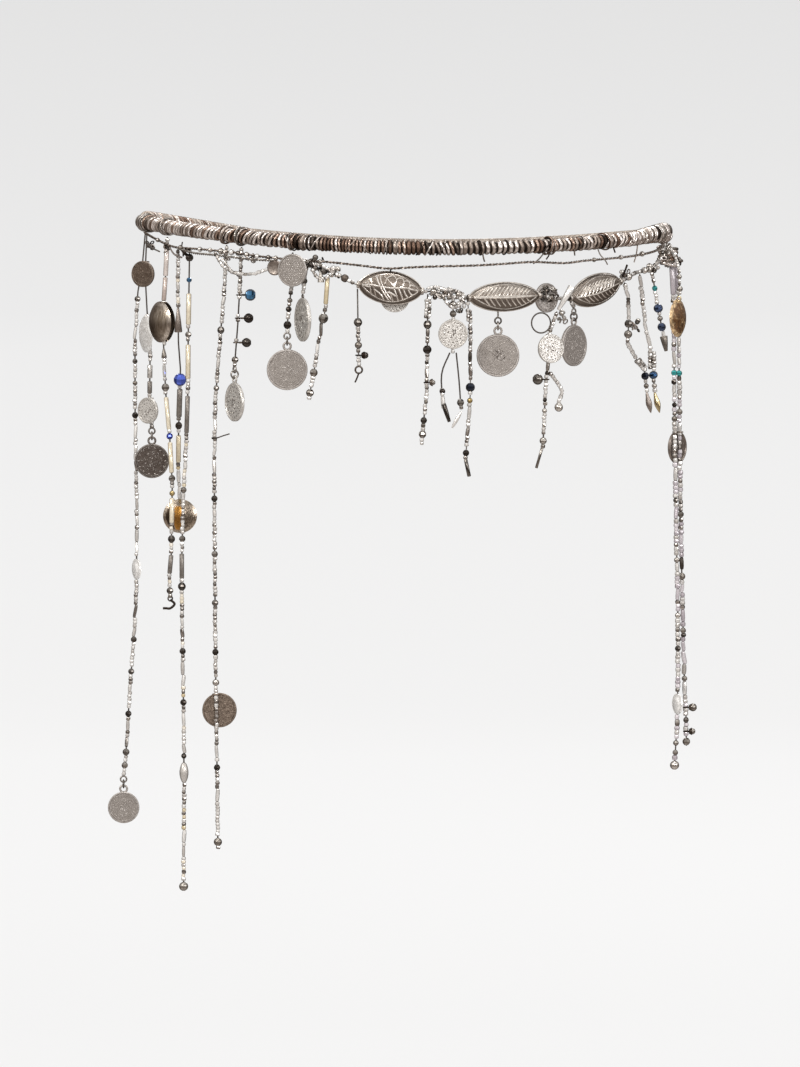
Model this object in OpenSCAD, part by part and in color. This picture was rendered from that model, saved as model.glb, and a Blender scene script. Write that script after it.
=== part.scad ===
// Coin headdress: a wound wire hoop that sits round the head, a thin swag and a garland of
// leaf beads under its front, and hanging strings of beads, coins and domed discs.
// Millimetres. +X is the wearer's left as seen from the front, +Y is backwards, +Z is up.
// The origin is the middle of the head opening, at the mean height of the hoop.

/* [Hoop] */
// Half width of the hoop's centre line
half_width = 86.5; // [84:0.5:89]
// Half depth of the hoop's centre line
half_depth = 101; // [98:0.5:104]
// Thickness of the hoop with its winding
hoop_d = 4.6; // [4.2:0.1:4.8]
// How far the sides rise and the front and back dip
saddle = 3; // [2.5:0.1:3.5]
// Sideways lean of the hoop, height lost for each millimetre to the right
lean = 0.024; // [0.02:0.001:0.028]

/* [Strings] */
// Thickness of a string of seed beads
string_d = 0.9; // [0.7:0.05:1]
// Gap between a bead and its string, and between neighbours
gap = 0.13; // [0.1:0.01:0.15]
// Thickness of bare wire
wire_d = 0.56; // [0.5:0.02:0.6]

/* [Coins] */
// Thickness of a coin's field
coin_t = 0.7; // [0.6:0.05:0.8]
// How far a coin's rim and figures stand out of its field
relief = 0.2; // [0.15:0.05:0.25]
// Number of petals in a coin's rosette
petals = 6; // [6:1:8]
// Number of dots round a coin's rosette
dots = 12; // [10:1:14]

/* [Hidden] */
$fn = 48;

hoop_rings = 96;
hoop_sides = 12;
string_sides = 8;
hole_d = string_d + 2 * gap;
// How far the swag hangs in front of the hoop's centre line
swag_offset = 1.6;

// Colours of the finishes
function tone(finish) =
    finish == "silver" ? [0.72, 0.70, 0.67] :
    finish == "dark" ? [0.27, 0.25, 0.24] :
    finish == "brass" ? [0.72, 0.60, 0.38] :
    finish == "brown" ? [0.36, 0.29, 0.22] :
    finish == "royal" ? [0.13, 0.17, 0.55] :
    finish == "blue" ? [0.10, 0.38, 0.55] :
    finish == "night" ? [0.10, 0.14, 0.24] :
    finish == "teal" ? [0.07, 0.38, 0.38] : [0.6, 0.6, 0.6];

// Points and directions

function unit(v) = v / norm(v);
function mix(a, b, share) = a + (b - a) * share;

// A point of the hoop's centre line, at an angle from the middle of the front
function hoop_point(angle) = [
    half_width * sin(angle),
    -half_depth * cos(angle),
    -saddle * cos(2 * angle) - lean * half_width * sin(angle)
];
function hoop_direction(angle) = unit(hoop_point(angle + 1) - hoop_point(angle - 1));
function front_angle(x) = asin(x / half_width);
// A point under the hoop's front at a sideways place, moved outwards
function under_front(x, z, out) =
    let (p = hoop_point(front_angle(x)), away = unit([p.x / half_width ^ 2, p.y / half_depth ^ 2]))
    [p.x + out * away.x, p.y + out * away.y, z];

function direction_at(points, i) =
    i == 0 ? unit(points[1] - points[0]) :
    i == len(points) - 1 ? unit(points[i] - points[i - 1]) :
    unit(unit(points[i + 1] - points[i]) + unit(points[i] - points[i - 1]));

function circle_round(centre, direction, up, r, sides) =
    let (u = unit(cross(direction, up)), v = cross(direction, u))
    [for (k = [0 : sides - 1]) centre + r * (u * cos(360 * k / sides) + v * sin(360 * k / sides))];

// The route's stretch that passes a height, and the point and direction there
function stretch_at(route, z) = [
    for (i = [0 : len(route) - 2])
        if ((route[i].z - z) * (route[i + 1].z - z) <= 0) i
][0];
function point_at(route, z) =
    let (i = stretch_at(route, z), a = route[i], b = route[i + 1])
    mix(a, b, (z - a.z) / (b.z - a.z));
function direction_down(route, z) =
    let (i = stretch_at(route, z))
    unit(route[i + 1] - route[i]);

// The same along a sideways route, by x
function stretch_across(route, x) = [
    for (i = [0 : len(route) - 2])
        if ((route[i].x - x) * (route[i + 1].x - x) <= 0) i
][0];
function point_across(route, x) =
    let (i = stretch_across(route, x), a = route[i], b = route[i + 1])
    mix(a, b, (x - a.x) / (b.x - a.x));
function direction_across(route, x) =
    let (i = stretch_across(route, x))
    unit(route[i + 1] - route[i]);

// Turns the Z axis to a direction
module aim(direction) {
    rotate([0, acos(direction.z), atan2(direction.y, direction.x)]) children();
}

// Moves a thing to a string at a height, with its Z axis down the string
module threaded(route, z) {
    translate(point_at(route, z)) aim(direction_down(route, z)) children();
}

// Turns a flat thing that lies in XY upright, facing forwards, then round the Z axis
module face_front(turn = 0, roll = 0) {
    rotate([90, 0, turn]) rotate([0, 0, roll]) children();
}

// Routes of the strings, from their top ends down

left_route_1 = [
    [-85, -20, 1.6], [-86, -20, -9], [-87.5, -20, -18], [-88.5, -20, -34], [-88.5, -20, -62],
    [-88, -20, -90], [-88.2, -20, -116], [-89.2, -20, -134], [-90.3, -20, -147],
    [-91.2, -20, -161], [-91.9, -20, -172], [-92.6, -20, -177.6]
];
left_route_2 = [
    [-84.2, -27, 1.4], [-84.8, -27, -12], [-84.2, -27, -24], [-83.2, -27, -36],
    [-83.4, -27, -51], [-82.8, -27, -62]
];
left_route_3 = [
    [-76.7, -47, 0.2], [-77.3, -47, -12], [-78, -47.5, -22], [-78, -48, -34],
    [-77.3, -49, -50], [-75.9, -51, -65], [-75, -54, -80], [-75.2, -55, -92],
    [-75.3, -55, -102], [-76, -55, -110], [-75.7, -55, -116.6]
];
left_route_4 = [
    [-73, -55.4, -3.6], [-73, -55.2, -20], [-72.9, -54.5, -34], [-72.3, -53.6, -42.6],
    [-73.1, -49.6, -62.8], [-73.3, -47, -76], [-72.9, -46, -83.5]
];
left_route_5 = [
    [-69, -61.5, -4], [-69.2, -61.5, -16], [-69.5, -61.5, -33], [-69.6, -61.5, -48],
    [-70.2, -61.5, -66], [-71.2, -61.5, -84], [-71.7, -61.5, -104], [-71.7, -61.5, -122],
    [-71.3, -61.5, -143], [-71.1, -61.5, -176], [-71.3, -61.5, -211.2]
];
left_route_6 = [
    [-56.6, -76.4, -2.3], [-57.3, -76.4, -15], [-58.8, -76.4, -33], [-60.3, -76.4, -52],
    [-60.7, -76.4, -72], [-60.6, -76.4, -100], [-60.4, -76.4, -136], [-60.1, -76.4, -156],
    [-59.7, -76.4, -195.6]
];
left_route_7 = [
    [-51.7, -81, -2.9], [-52.2, -81, -14], [-53, -81, -28], [-54, -81, -40.7]
];
left_loop_route = [
    [-60.6, -75.4, -4.6], [-57.8, -79.2, -9], [-54.5, -82.4, -11], [-50.5, -85.2, -11.6],
    [-47, -87.4, -11.3], [-43.6, -89.4, -10]
];
front_route_1 = [
    [-35.2, -91.9, -4.6], [-35.5, -91.9, -15], [-36.7, -91.9, -24], [-37, -91.9, -29.6]
];
front_route_1b = [[-31.3, -95.3, -9.4], [-31.8, -94.6, -17.3]];
front_route_2 = [
    [-24, -98.4, -11.4], [-24.8, -98, -22.5], [-26.6, -97.3, -31], [-28.2, -97, -41], [-30, -97, -50.6]
];
front_route_3 = [[-14.6, -101.4, -16], [-14.4, -100.8, -30], [-14.2, -100.8, -40]];
front_route_4 = [
    [7.6, -101.4, -17.7], [7.5, -100.8, -30], [7.3, -100.6, -48], [6.1, -100.6, -60], [5.7, -100.6, -65]
];
front_route_5 = [[15.6, -100.4, -18.2], [15.6, -99.7, -36]];
front_route_5_left = [[14.6, -99.7, -36.2], [12, -99.7, -43], [12.4, -99.7, -52]];
front_route_5_right = [[16.6, -99.7, -36.2], [17.5, -99.5, -45], [18.1, -99.3, -53.5]];
front_route_6 = [
    [20.2, -99.6, -19.8], [21.1, -98.6, -30], [21.1, -98.3, -49], [20.4, -98.3, -60], [19.6, -98.3, -69.6]
];
front_route_7 = [
    [48.8, -86.1, -23.4], [46.5, -86.1, -29.8], [46, -86.1, -40], [45.3, -86.1, -46], [44.4, -86.1, -66]
];
front_route_7_side = [[46.4, -86.1, -42.6], [49.4, -84.6, -46.6], [50.7, -83.6, -49], [49.8, -83, -51.6]];
front_route_8 = [[53.2, -80.6, -20.3], [54.4, -78.8, -21.9]];
right_route_1 = [
    [71.2, -61.4, -14.5], [72.6, -58.6, -20], [72.8, -56.4, -26.5], [72.5, -56.2, -34],
    [75, -52.4, -38.6], [78.2, -49.4, -42.6], [79, -49.2, -50]
];
right_route_2 = [
    [76.6, -49.2, -11.9], [77.6, -46.4, -20], [78.8, -45.4, -30], [80.6, -44.6, -37], [81.8, -44.4, -50]
];
right_route_3 = [[81, -37.6, -11], [83.3, -37.6, -24], [84.8, -37.6, -32]];
right_route_4 = [
    [86.8, -14.2, -2], [88.6, -13.6, -8], [89.2, -13, -18], [89.4, -13, -34], [89.7, -13, -62],
    [90.2, -13, -92], [90.9, -13, -122], [91, -13, -146], [90.8, -13, -160], [89.9, -13, -176]
];
right_route_5 = [
    [88, -9.4, -1.9], [90, -9.6, -8], [91, -10, -18], [91.3, -10, -45], [91.6, -10, -75], [92.3, -10, -110],
    [93.1, -10, -142], [93.8, -10, -157], [94, -10, -168.8]
];
right_route_6 = [[87.3, -17.9, -2.2], [90.6, -17.8, -9], [91.2, -17.8, -18.9]];

swag_points = [
    [-83.4, 1.6], [-79, -0.6], [-73, -3], [-67, -3.5], [-60.5, -4], [-53, -4.7], [-45.7, -5.8],
    [-34.5, -6.9], [-23.3, -7.6], [-12.2, -8.8], [-5, -9.6], [3, -9.2], [11.5, -8.9], [21, -8.7],
    [30.5, -8.2], [40, -7.6], [50, -8], [56.5, -7.3], [63, -6.8], [72, -6], [80, -4.6], [83.6, -2.6]
];
swag_route = [for (p = swag_points) under_front(p[0], p[1], swag_offset)];

// Bead tables. A row for each bead, columns: kind, height, diameter, length, finish.
// A side bead's length is how far its middle stands from the string, to the right if above 0,
// and a disc's is its thickness.

left_bead_table_1 = [
    ["ball", -20.3, 2, 0, "dark"], ["ball", -40.8, 1.7, 0, "dark"], ["ball", -48, 1.6, 0, "silver"],
    ["ball", -58.6, 2.1, 0, "dark"], ["disc", -109.4, 7, 1.8, "silver"],
    ["ball", -132.7, 2, 0, "dark"], ["ball", -143.3, 2, 0, "dark"], ["ball", -157.3, 2.1, 0, "dark"],
    ["ball", -170, 2.3, 0, "dark"], ["ball", -174.4, 2.2, 0, "dark"]
];
left_bead_table_2 = [
    ["tube", -44, 1.7, 4.4, "silver"], ["tube", -49.2, 1.6, 4, "silver"]
];
left_bead_table_3 = [
    ["tube", -8, 1.5, 9, "brown"], ["cone", -37.6, 1.8, 3, "silver"],
    ["ball", -48.6, 2.6, 0, "dark"], ["tube", -57, 1.5, 10.5, "brass"], ["glass", -64.4, 2.2, 0, "royal"],
    ["tube", -71.3, 1.5, 10, "brass"], ["ball", -78, 2.2, 0, "dark"], ["ball", -82.8, 1.8, 0, "brass"],
    ["tube", -88.4, 1.6, 8, "brass"], ["ball", -97.6, 2.5, 0, "dark"], ["tube", -105.8, 1.5, 6, "silver"],
    ["ball", -114.4, 2.2, 0, "dark"]
];
left_bead_table_4 = [
    ["cone", -26.6, 2.6, 8, "dark"], ["glass", -46, 4.2, 0, "royal"],
    ["tube", -53.6, 1.8, 9.4, "silver"], ["ball", -61, 2.4, 0, "dark"], ["tube", -68.6, 1.6, 9, "brass"]
];
left_bead_table_5 = [
    ["ball", -6.4, 2.6, 0, "dark"], ["glass", -13.6, 1.7, 0, "blue"], ["tube", -23, 1.6, 10, "brass"],
    ["ball", -31.2, 2, 0, "dark"], ["tube", -40, 1.6, 11, "brass"], ["tube", -57, 1.5, 12, "silver"],
    ["ball", -81.4, 2, 0, "dark"], ["ball", -97.2, 2.1, 0, "dark"], ["tube", -106, 1.5, 8, "silver"],
    ["ball", -112.6, 2.7, 0, "dark"], ["ball", -133.6, 2.1, 0, "dark"], ["ball", -150.2, 2.1, 0, "dark"],
    ["ball", -167.6, 1.8, 0, "dark"], ["rice", -173, 2.9, 6.6, "silver"], ["ball", -210, 3, 0, "silver"]
];
left_bead_table_6 = [
    ["ball", -29.5, 2.5, 0, "dark"], ["ball", -48.1, 1.9, 0, "dark"], ["ball", -83.5, 2.1, 0, "dark"],
    ["ball", -101.3, 2.1, 0, "dark"], ["ball", -117, 2.1, 0, "dark"], ["ball", -132.8, 2.1, 0, "dark"],
    ["ball", -142.6, 2.2, 0, "silver"], ["ball", -170, 2.1, 0, "dark"], ["ball", -194, 2.7, 0, "silver"]
];
left_bead_table_7 = [
    ["side", -18.2, 3.3, 3.5, "blue"], ["side", -25.6, 2.8, 3.4, "dark"],
    ["side", -33.4, 2.7, 3.3, "silver"], ["ball", -38.9, 2.2, 0, "dark"]
];
front_bead_table_1 = [
    ["ball", -19.8, 1.7, 0, "silver"], ["ball", -22.6, 1.9, 0, "dark"], ["ball", -27.6, 2.6, 0, "dark"]
];
front_bead_table_2 = [
    ["tube", -16.6, 1.5, 8.6, "brass"], ["ball", -25.4, 3.2, 0, "dark"], ["ball", -42.6, 2.6, 0, "dark"],
    ["ball", -49, 2.5, 0, "dark"]
];
front_bead_table_3 = [
    ["ball", -26.6, 2.8, 0, "dark"], ["ball", -33.8, 2.3, 0, "silver"], ["side", -37, 1.9, 2.1, "dark"]
];
front_bead_table_4 = [
    ["tube", -22, 2.2, 6.6, "silver"], ["ball", -27.3, 2.8, 0, "dark"], ["ball", -35.2, 2.8, 0, "dark"],
    ["side", -45.6, 1.5, 1.9, "dark"], ["ball", -57.6, 2.1, 0, "dark"], ["ball", -62, 2.5, 0, "dark"]
];
front_bead_table_5 = [["ball", -20.9, 2.3, 0, "silver"], ["ball", -23.9, 2.2, 0, "dark"]];
front_bead_table_6 = [
    ["tube", -24.6, 1.9, 5, "silver"], ["glass", -47.2, 3, 0, "night"], ["ball", -51.4, 1.8, 0, "brass"],
    ["ball", -68, 2.1, 0, "dark"]
];
front_bead_table_7 = [
    ["side", -45, 3.1, -2.7, "dark"], ["ball", -55, 1.6, 0, "silver"], ["ball", -64.6, 2.3, 0, "silver"]
];
right_bead_table_1 = [
    ["ball", -27.8, 2.7, 0, "dark"], ["ball", -31.2, 2.7, 0, "silver"], ["glass", -44.9, 2.6, 0, "night"],
    ["ball", -48.1, 1.7, 0, "silver"]
];
right_bead_table_2 = [["glass", -44.7, 2.8, 0, "blue"], ["ball", -48.2, 1.7, 0, "silver"]];
right_bead_table_3 = [
    ["ball", -16.6, 1.9, 0, "teal"], ["glass", -23.1, 3, 0, "night"], ["ball", -26.4, 1.8, 0, "silver"],
    ["ball", -29.2, 2.8, 0, "night"]
];
right_bead_table_4 = [
    ["tube", -12.8, 1.7, 7, "silver"], ["glass", -44.8, 2, 0, "teal"], ["ball", -55.4, 1.7, 0, "dark"],
    ["ball", -60, 2, 0, "silver"], ["ball", -87, 1.7, 0, "dark"], ["ball", -106.8, 1.9, 0, "silver"],
    ["ball", -125.2, 1.9, 0, "silver"], ["ball", -136.2, 2, 0, "dark"], ["disc", -154.6, 7, 1.7, "silver"],
    ["ball", -167.6, 1.9, 0, "silver"], ["ball", -170.8, 1.9, 0, "dark"], ["ball", -175, 3.1, 0, "silver"]
];
right_bead_table_5 = [
    ["tube", -22.4, 1.6, 6, "silver"], ["glass", -45, 2, 0, "teal"], ["ball", -57.8, 2.1, 0, "silver"],
    ["ball", -91.8, 2.1, 0, "dark"], ["ball", -112.4, 2.4, 0, "silver"], ["ball", -130.4, 2, 0, "dark"],
    ["ball", -146.4, 1.9, 0, "silver"], ["side", -156, 2.4, 2.4, "silver"], ["ball", -160.2, 2, 0, "dark"],
    ["side", -164, 1.8, 2.1, "silver"], ["ball", -167.4, 2.6, 0, "dark"]
];
right_bead_table_6 = [["ball", -13, 1.8, 0, "silver"], ["ball", -17, 2, 0, "silver"]];

// Leaf beads. Columns: middle, turn round Z, slope, length, height, thickness.
leaf_left = [[-4.2, -101.6, -15.7], 0, -6, 20, 10.1, 5.4];
leaf_middle = [[31.8, -94.6, -18.6], 25, 1.5, 24.4, 9, 5.6];
leaf_right = [[61.5, -71.8, -16.7], 43, 13, 22.6, 9.7, 5.6];
function leaf_axis(leaf) = [cos(leaf[2]) * cos(leaf[1]), cos(leaf[2]) * sin(leaf[1]), sin(leaf[2])];
// A point on a leaf bead's axis, outside its end by the given distance
function leaf_tip(leaf, side, beyond) = leaf[0] + side * (leaf[3] / 2 + beyond) * leaf_axis(leaf);

garland_route = [
    [-33, -95, -8.2], [-29.6, -96.2, -8.9], [-26, -97.6, -10.2], [-20.5, -99.5, -11.6], [-17, -101, -13.6],
    leaf_tip(leaf_left, -1, 1), leaf_tip(leaf_left, 1, 1), [11.8, -101.2, -16.8], [16.5, -100.6, -17.4],
    leaf_tip(leaf_middle, -1, 1), leaf_tip(leaf_middle, 1, 1), [49, -84.6, -19.2],
    leaf_tip(leaf_right, -1, 1), leaf_tip(leaf_right, 1, 1), [75, -53.5, -11.4], [80.6, -38, -10.2],
    [84.6, -24, -7], [86, -20.6, -2.6]
];
// Columns: place across, diameter, finish
garland_bead_table = [
    [-28.2, 2.2, "silver"], [-25.2, 2.5, "dark"], [-22.6, 2, "silver"], [-18.6, 2.6, "brown"],
    [9.5, 2.4, "silver"], [13.6, 2, "silver"], [17.4, 2.2, "silver"], [47.2, 2.4, "silver"],
    [72.6, 2.4, "silver"], [78.3, 2.2, "silver"], [80, 2.4, "silver"]
];

// Coins that swing on a ring. Columns: middle, diameter, turn. The hinge is the bottom of the end link.
end_link_r = 1;
jump_ring_r = 1.25;
eye_r = 1.15;
eye_wire_d = 0.7;
wire_gap = wire_d + gap;
bail_r = hole_d / 2 + 0.45;
bail_wire_d = 0.5;
eye_gap = wire_d / 2 + eye_wire_d / 2 + gap;
// From the hinge down to the middle of the coin's eye
eye_drop = 2 * jump_ring_r - wire_gap - eye_gap + eye_r;
eye_sink = 0.15;
function hinge_height(middle_z, d) = middle_z + d / 2 + eye_r - eye_sink + eye_drop;

swing_left_dark = [[-82.7, -27, -73.4], 11.3, 0];
swing_left_end = [[-92.6, -20, -188.4], 10.4, 0];
swing_left_turned = [[-54, -81, -52.4], 12.4, -62];
swing_front_left = [[-37, -91.9, -41.8], 13, 0];
swing_front_middle = [[29.9, -94.6, -37.2], 13.6, 0];
swing_front_right = [[54.4, -78.6, -34.4], 13.2, 52];

// Building blocks

module sweep(points, r, up = [0, 1, 0], sides = string_sides) {
    count = len(points);
    corners = [
        for (i = [0 : count - 1])
            each circle_round(points[i], direction_at(points, i), up, r, sides)
    ];
    walls = [
        for (i = [0 : count - 2], k = [0 : sides - 1])
            let (next = (k + 1) % sides)
            [i * sides + k, (i + 1) * sides + k, (i + 1) * sides + next, i * sides + next]
    ];
    first = [for (k = [0 : sides - 1]) k];
    last = [for (k = [sides - 1 : -1 : 0]) (count - 1) * sides + k];
    polyhedron(corners, concat(walls, [first, last]));
}

module wire_ring(r, d = wire_d) {
    rotate_extrude() translate([r, 0]) circle(d = d);
}

module ball_bead(d, hole = hole_d) {
    difference() {
        sphere(d = d);
        cylinder(d = hole, h = 2 * d, center = true);
    }
}

// A cut glass bead: eight facets round, a flat table at each end
module glass_bead(d, hole = hole_d) {
    table = max(0.3 * d, hole / 2 + 0.2);
    rotate_extrude($fn = 8) polygon([
        [hole / 2, -0.42 * d], [table, -0.42 * d], [d / 2, -0.16 * d],
        [d / 2, 0.16 * d], [table, 0.42 * d], [hole / 2, 0.42 * d]
    ]);
}

module tube_bead(d, length, hole = hole_d) {
    difference() {
        cylinder(d = d, h = length, center = true);
        cylinder(d = hole, h = 2 * length, center = true);
    }
}

// Narrow end up the string, wide end down
module cone_bead(d, length, hole = hole_d) {
    difference() {
        cylinder(d1 = hole + 0.4, d2 = d, h = length, center = true);
        cylinder(d = hole, h = 2 * length, center = true);
    }
}

// A lens-shaped disc strung through its width, turned away from the front
disc_turn = -65;
module disc_bead(d, thickness, hole = hole_d) {
    difference() {
        face_front(disc_turn) rotate_extrude() polygon([
            [0, -thickness / 2], [0.3 * d, -thickness / 2], [d / 2, -0.25],
            [d / 2, 0.25], [0.3 * d, thickness / 2], [0, thickness / 2]
        ]);
        cylinder(d = hole, h = 2 * d, center = true);
    }
}

// A long bead with a rounded outline
module rice_bead(d, length, hole = hole_d) {
    rotate_extrude() polygon([
        [hole / 2, -length / 2], [hole / 2 + 0.25, -length / 2], [0.42 * d, -0.3 * length],
        [d / 2, -0.1 * length], [d / 2, 0.1 * length], [0.42 * d, 0.3 * length],
        [hole / 2 + 0.25, length / 2], [hole / 2, length / 2]
    ]);
}

// A loop of wire round a string, for what stands beside the string
loop_r = hole_d / 2 + 0.26;
loop_wire_d = 0.5;

// A bead on a stalk that loops round the string
module side_bead(d, reach) {
    rotate(reach < 0 ? 180 : 0) {
        wire_ring(loop_r, loop_wire_d);
        translate([loop_r, 0, 0]) rotate([0, 90, 0]) cylinder(d = 0.6, h = abs(reach) - loop_r);
        translate([abs(reach), 0, 0]) sphere(d = d);
    }
}

module bead(row) {
    kind = row[0];
    color(tone(row[4])) {
        if (kind == "ball") ball_bead(row[2]);
        if (kind == "glass") glass_bead(row[2]);
        if (kind == "tube") tube_bead(row[2], row[3]);
        if (kind == "cone") cone_bead(row[2], row[3]);
        if (kind == "rice") rice_bead(row[2], row[3]);
    }
}

module beads_on(route, table) {
    for (row = table)
        if (row[0] == "side")
            color(tone(row[4])) translate(point_at(route, row[1])) side_bead(row[2], row[3]);
        else if (row[0] == "disc")
            color(tone(row[4])) translate(point_at(route, row[1])) disc_bead(row[2], row[3]);
        else
            threaded(route, row[1]) bead(row);
}

module string_of(route, d = string_d, finish = "silver") {
    color(tone(finish)) sweep(route, d / 2);
}

// Coins and discs. They lie in XY with the middle at the origin.

module rosette(d) {
    petal = 0.2 * d;
    for (k = [0 : petals - 1])
        rotate(360 * k / petals) translate([0.15 * d, 0]) intersection() {
            translate([0, 0.62 * petal]) circle(r = petal);
            translate([0, -0.62 * petal]) circle(r = petal);
        }
}

module coin(d, figures = true) {
    thick = coin_t + 2 * relief;
    rim_w = 0.07 * d;
    rotate_extrude() polygon([
        [0, -coin_t / 2], [d / 2 - rim_w, -coin_t / 2], [d / 2 - 0.8 * rim_w, -thick / 2],
        [d / 2 - 0.2, -thick / 2], [d / 2, -thick / 2 + 0.2], [d / 2, thick / 2 - 0.2],
        [d / 2 - 0.2, thick / 2], [d / 2 - 0.8 * rim_w, thick / 2], [d / 2 - rim_w, coin_t / 2],
        [0, coin_t / 2]
    ]);
    if (figures)
        linear_extrude(thick - 0.1, center = true) {
            rosette(d);
            for (k = [0 : dots - 1]) rotate(360 * k / dots) translate([0.355 * d, 0]) circle(d = 0.07 * d);
        }
}

// A ring round a string, which holds a coin or a disc
module bail(route, z) {
    threaded(route, z) wire_ring(bail_r, bail_wire_d);
}

// A coin on a bail, in front of its string or behind it. A coin's back is this far from the string.
string_clearance = 0.3;
module strung_coin(route, z, d, turn = 0, front = true, sideways = 0) {
    away = (front ? 1 : -1) * (coin_t / 2 + relief + string_d / 2 + string_clearance);
    translate(point_at(route, z)) face_front(turn) translate([sideways, 0, away]) coin(d);
    bail(route, z + d / 2 - 0.3);
}

// A coin with its eye and the jump ring that it hangs on, and the eye in the coin's plane
module swinging_coin(swing, finish = "silver") {
    d = swing[1];
    eye_y = d / 2 + eye_r - eye_sink;
    ring_y = eye_y + eye_r - eye_gap + jump_ring_r;
    color(tone(finish)) translate(swing[0]) face_front(swing[2]) {
        coin(d);
        translate([0, eye_y, 0]) wire_ring(eye_r, eye_wire_d);
        translate([0, ring_y, 0]) rotate([0, 90, 0]) wire_ring(jump_ring_r);
    }
}

// The last link of the string, whose bottom is the hinge of a swinging coin
module end_link(swing) {
    hinge_z = hinge_height(swing[0].z, swing[1]);
    translate([swing[0].x, swing[0].y, hinge_z + end_link_r]) face_front(swing[2]) wire_ring(end_link_r);
}

// A pressed disc, domed towards +Z, with the rim at Z 0
module domed_disc(d, rise, wall = 0.6) {
    r = (d * d / 4 + rise * rise) / (2 * rise);
    rotate_extrude() intersection() {
        translate([0, rise - r]) difference() {
            circle(r = r);
            circle(r = r - wall);
        }
        square([d, rise + 1]);
    }
}

// A two-sided pointed bead with a raised rib along each face, lying along X
module leaf_bead(leaf) {
    half_l = leaf[3] / 2;
    half_h = leaf[4] / 2;
    half_t = leaf[5] / 2;
    sections = 14;
    rib = 0.28;
    levels = [1, 0.8, 0.5, 0.16, 0.08, 0];
    outline = concat(
        [for (k = [0 : 4]) [1, levels[k]]], [[1, 0]],
        [for (k = [4 : -1 : 1]) [1, -levels[k]]], [[1, -1]],
        [for (k = [1 : 4]) [-1, -levels[k]]], [[-1, 0]],
        [for (k = [4 : -1 : 1]) [-1, levels[k]]]
    );
    count = len(outline);
    function half_height(x) = max(1, half_h * max(0, 1 - x * x / (half_l * half_l)) ^ 0.6);
    function swell(x) = max(0.32, (half_height(x) / half_h) ^ 0.75);
    corners = [
        for (i = [0 : sections])
            let (x = -half_l * cos(180 * i / sections), h = half_height(x), t = half_t * swell(x))
            for (p = outline)
                let (level = abs(p[1]), ridge = level < 0.1 ? rib * swell(x) : 0)
                [x, p[0] * (t * (1 - level ^ 1.4) + 0.25 * (level < 1 ? 1 : 0) + ridge), h * p[1]]
    ];
    walls = [
        for (i = [0 : sections - 1], k = [0 : count - 1])
            let (next = (k + 1) % count)
            [i * count + k, i * count + next, (i + 1) * count + next, (i + 1) * count + k]
    ];
    first = [for (k = [count - 1 : -1 : 0]) k];
    last = [for (k = [0 : count - 1]) sections * count + k];
    translate(leaf[0]) rotate([0, -leaf[2], leaf[1]]) difference() {
        polyhedron(corners, concat(walls, [first, last]));
        rotate([0, 90, 0]) cylinder(d = hole_d, h = 2 * leaf[3], center = true);
    }
}

// Hoop, rings, swag and garland

module hoop() {
    points = [for (i = [0 : hoop_rings - 1]) hoop_point(360 * i / hoop_rings)];
    corners = [
        for (i = [0 : hoop_rings - 1])
            let (along = hoop_direction(360 * i / hoop_rings))
            each circle_round(points[i], along, [0, 0, 1], hoop_d / 2, hoop_sides)
    ];
    walls = [
        for (i = [0 : hoop_rings - 1], k = [0 : hoop_sides - 1])
            let (next = (k + 1) % hoop_sides, after = (i + 1) % hoop_rings)
            [i * hoop_sides + k, after * hoop_sides + k, after * hoop_sides + next, i * hoop_sides + next]
    ];
    color([0.55, 0.50, 0.46]) polyhedron(corners, walls);
}

// Where strings are tied to the hoop, by their place across
tie_places = [-84.9, -83.2, -76.6, -56.6, -51.7, -35.2, 46, 64.5, 85.2, 86.2];

module tie_rings() {
    ring_r = hoop_d / 2 + 0.15 + 0.3;
    color([0.2, 0.17, 0.15])
        for (x = tie_places)
            translate(hoop_point(front_angle(x))) aim(hoop_direction(front_angle(x))) wire_ring(ring_r, 0.6);
}

module swag_string() {
    color([0.5, 0.48, 0.46]) sweep(swag_route, 0.35, [0, 0, 1]);
}

module garland_string() {
    color([0.66, 0.63, 0.58]) sweep(garland_route, string_d / 2, [0, 0, 1]);
}

module garland_beads() {
    for (row = garland_bead_table)
        color(tone(row[2])) translate(point_across(garland_route, row[0]))
            aim(direction_across(garland_route, row[0])) ball_bead(row[1]);
    // A loop of bare wire, and a small plain disc behind the textured coin
    color(tone("silver")) translate([43.7, -87.9, -27]) face_front(18) wire_ring(3.2, 0.7);
    color(tone("brown")) translate([-41, -89.6, -9.4]) face_front(-24)
        cylinder(d = 5, h = 0.9, center = true);
}

module leaf_bead_left() {
    color([0.55, 0.52, 0.48]) leaf_bead(leaf_left);
}

// The middle leaf bead has an eye under it for a coin
module leaf_bead_middle() {
    peg_top = leaf_middle[0].z - leaf_middle[4] / 2 + 0.6;
    hinge_z = hinge_height(swing_front_middle[0].z, swing_front_middle[1]);
    link_top = hinge_z + 2 * end_link_r;
    color([0.55, 0.52, 0.48]) {
        leaf_bead(leaf_middle);
        translate([swing_front_middle[0].x, swing_front_middle[0].y, link_top])
            cylinder(d = wire_d, h = peg_top - link_top);
        end_link(swing_front_middle);
    }
}

module leaf_bead_right() {
    color([0.55, 0.52, 0.48]) leaf_bead(leaf_right);
}

// Strings at the left

module left_string_1() { string_of(left_route_1); }
module left_string_2() { string_of(left_route_2); }
module left_string_3() { string_of(left_route_3, string_d, "brass"); }
module left_string_4() { string_of(left_route_4); }
module left_string_5() { string_of(left_route_5); }
module left_string_6() { string_of(left_route_6); }
module left_string_7() { string_of(left_route_7); }
module left_loop_string() { color(tone("silver")) sweep(left_loop_route, 0.35, [0, 0, 1]); }

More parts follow.
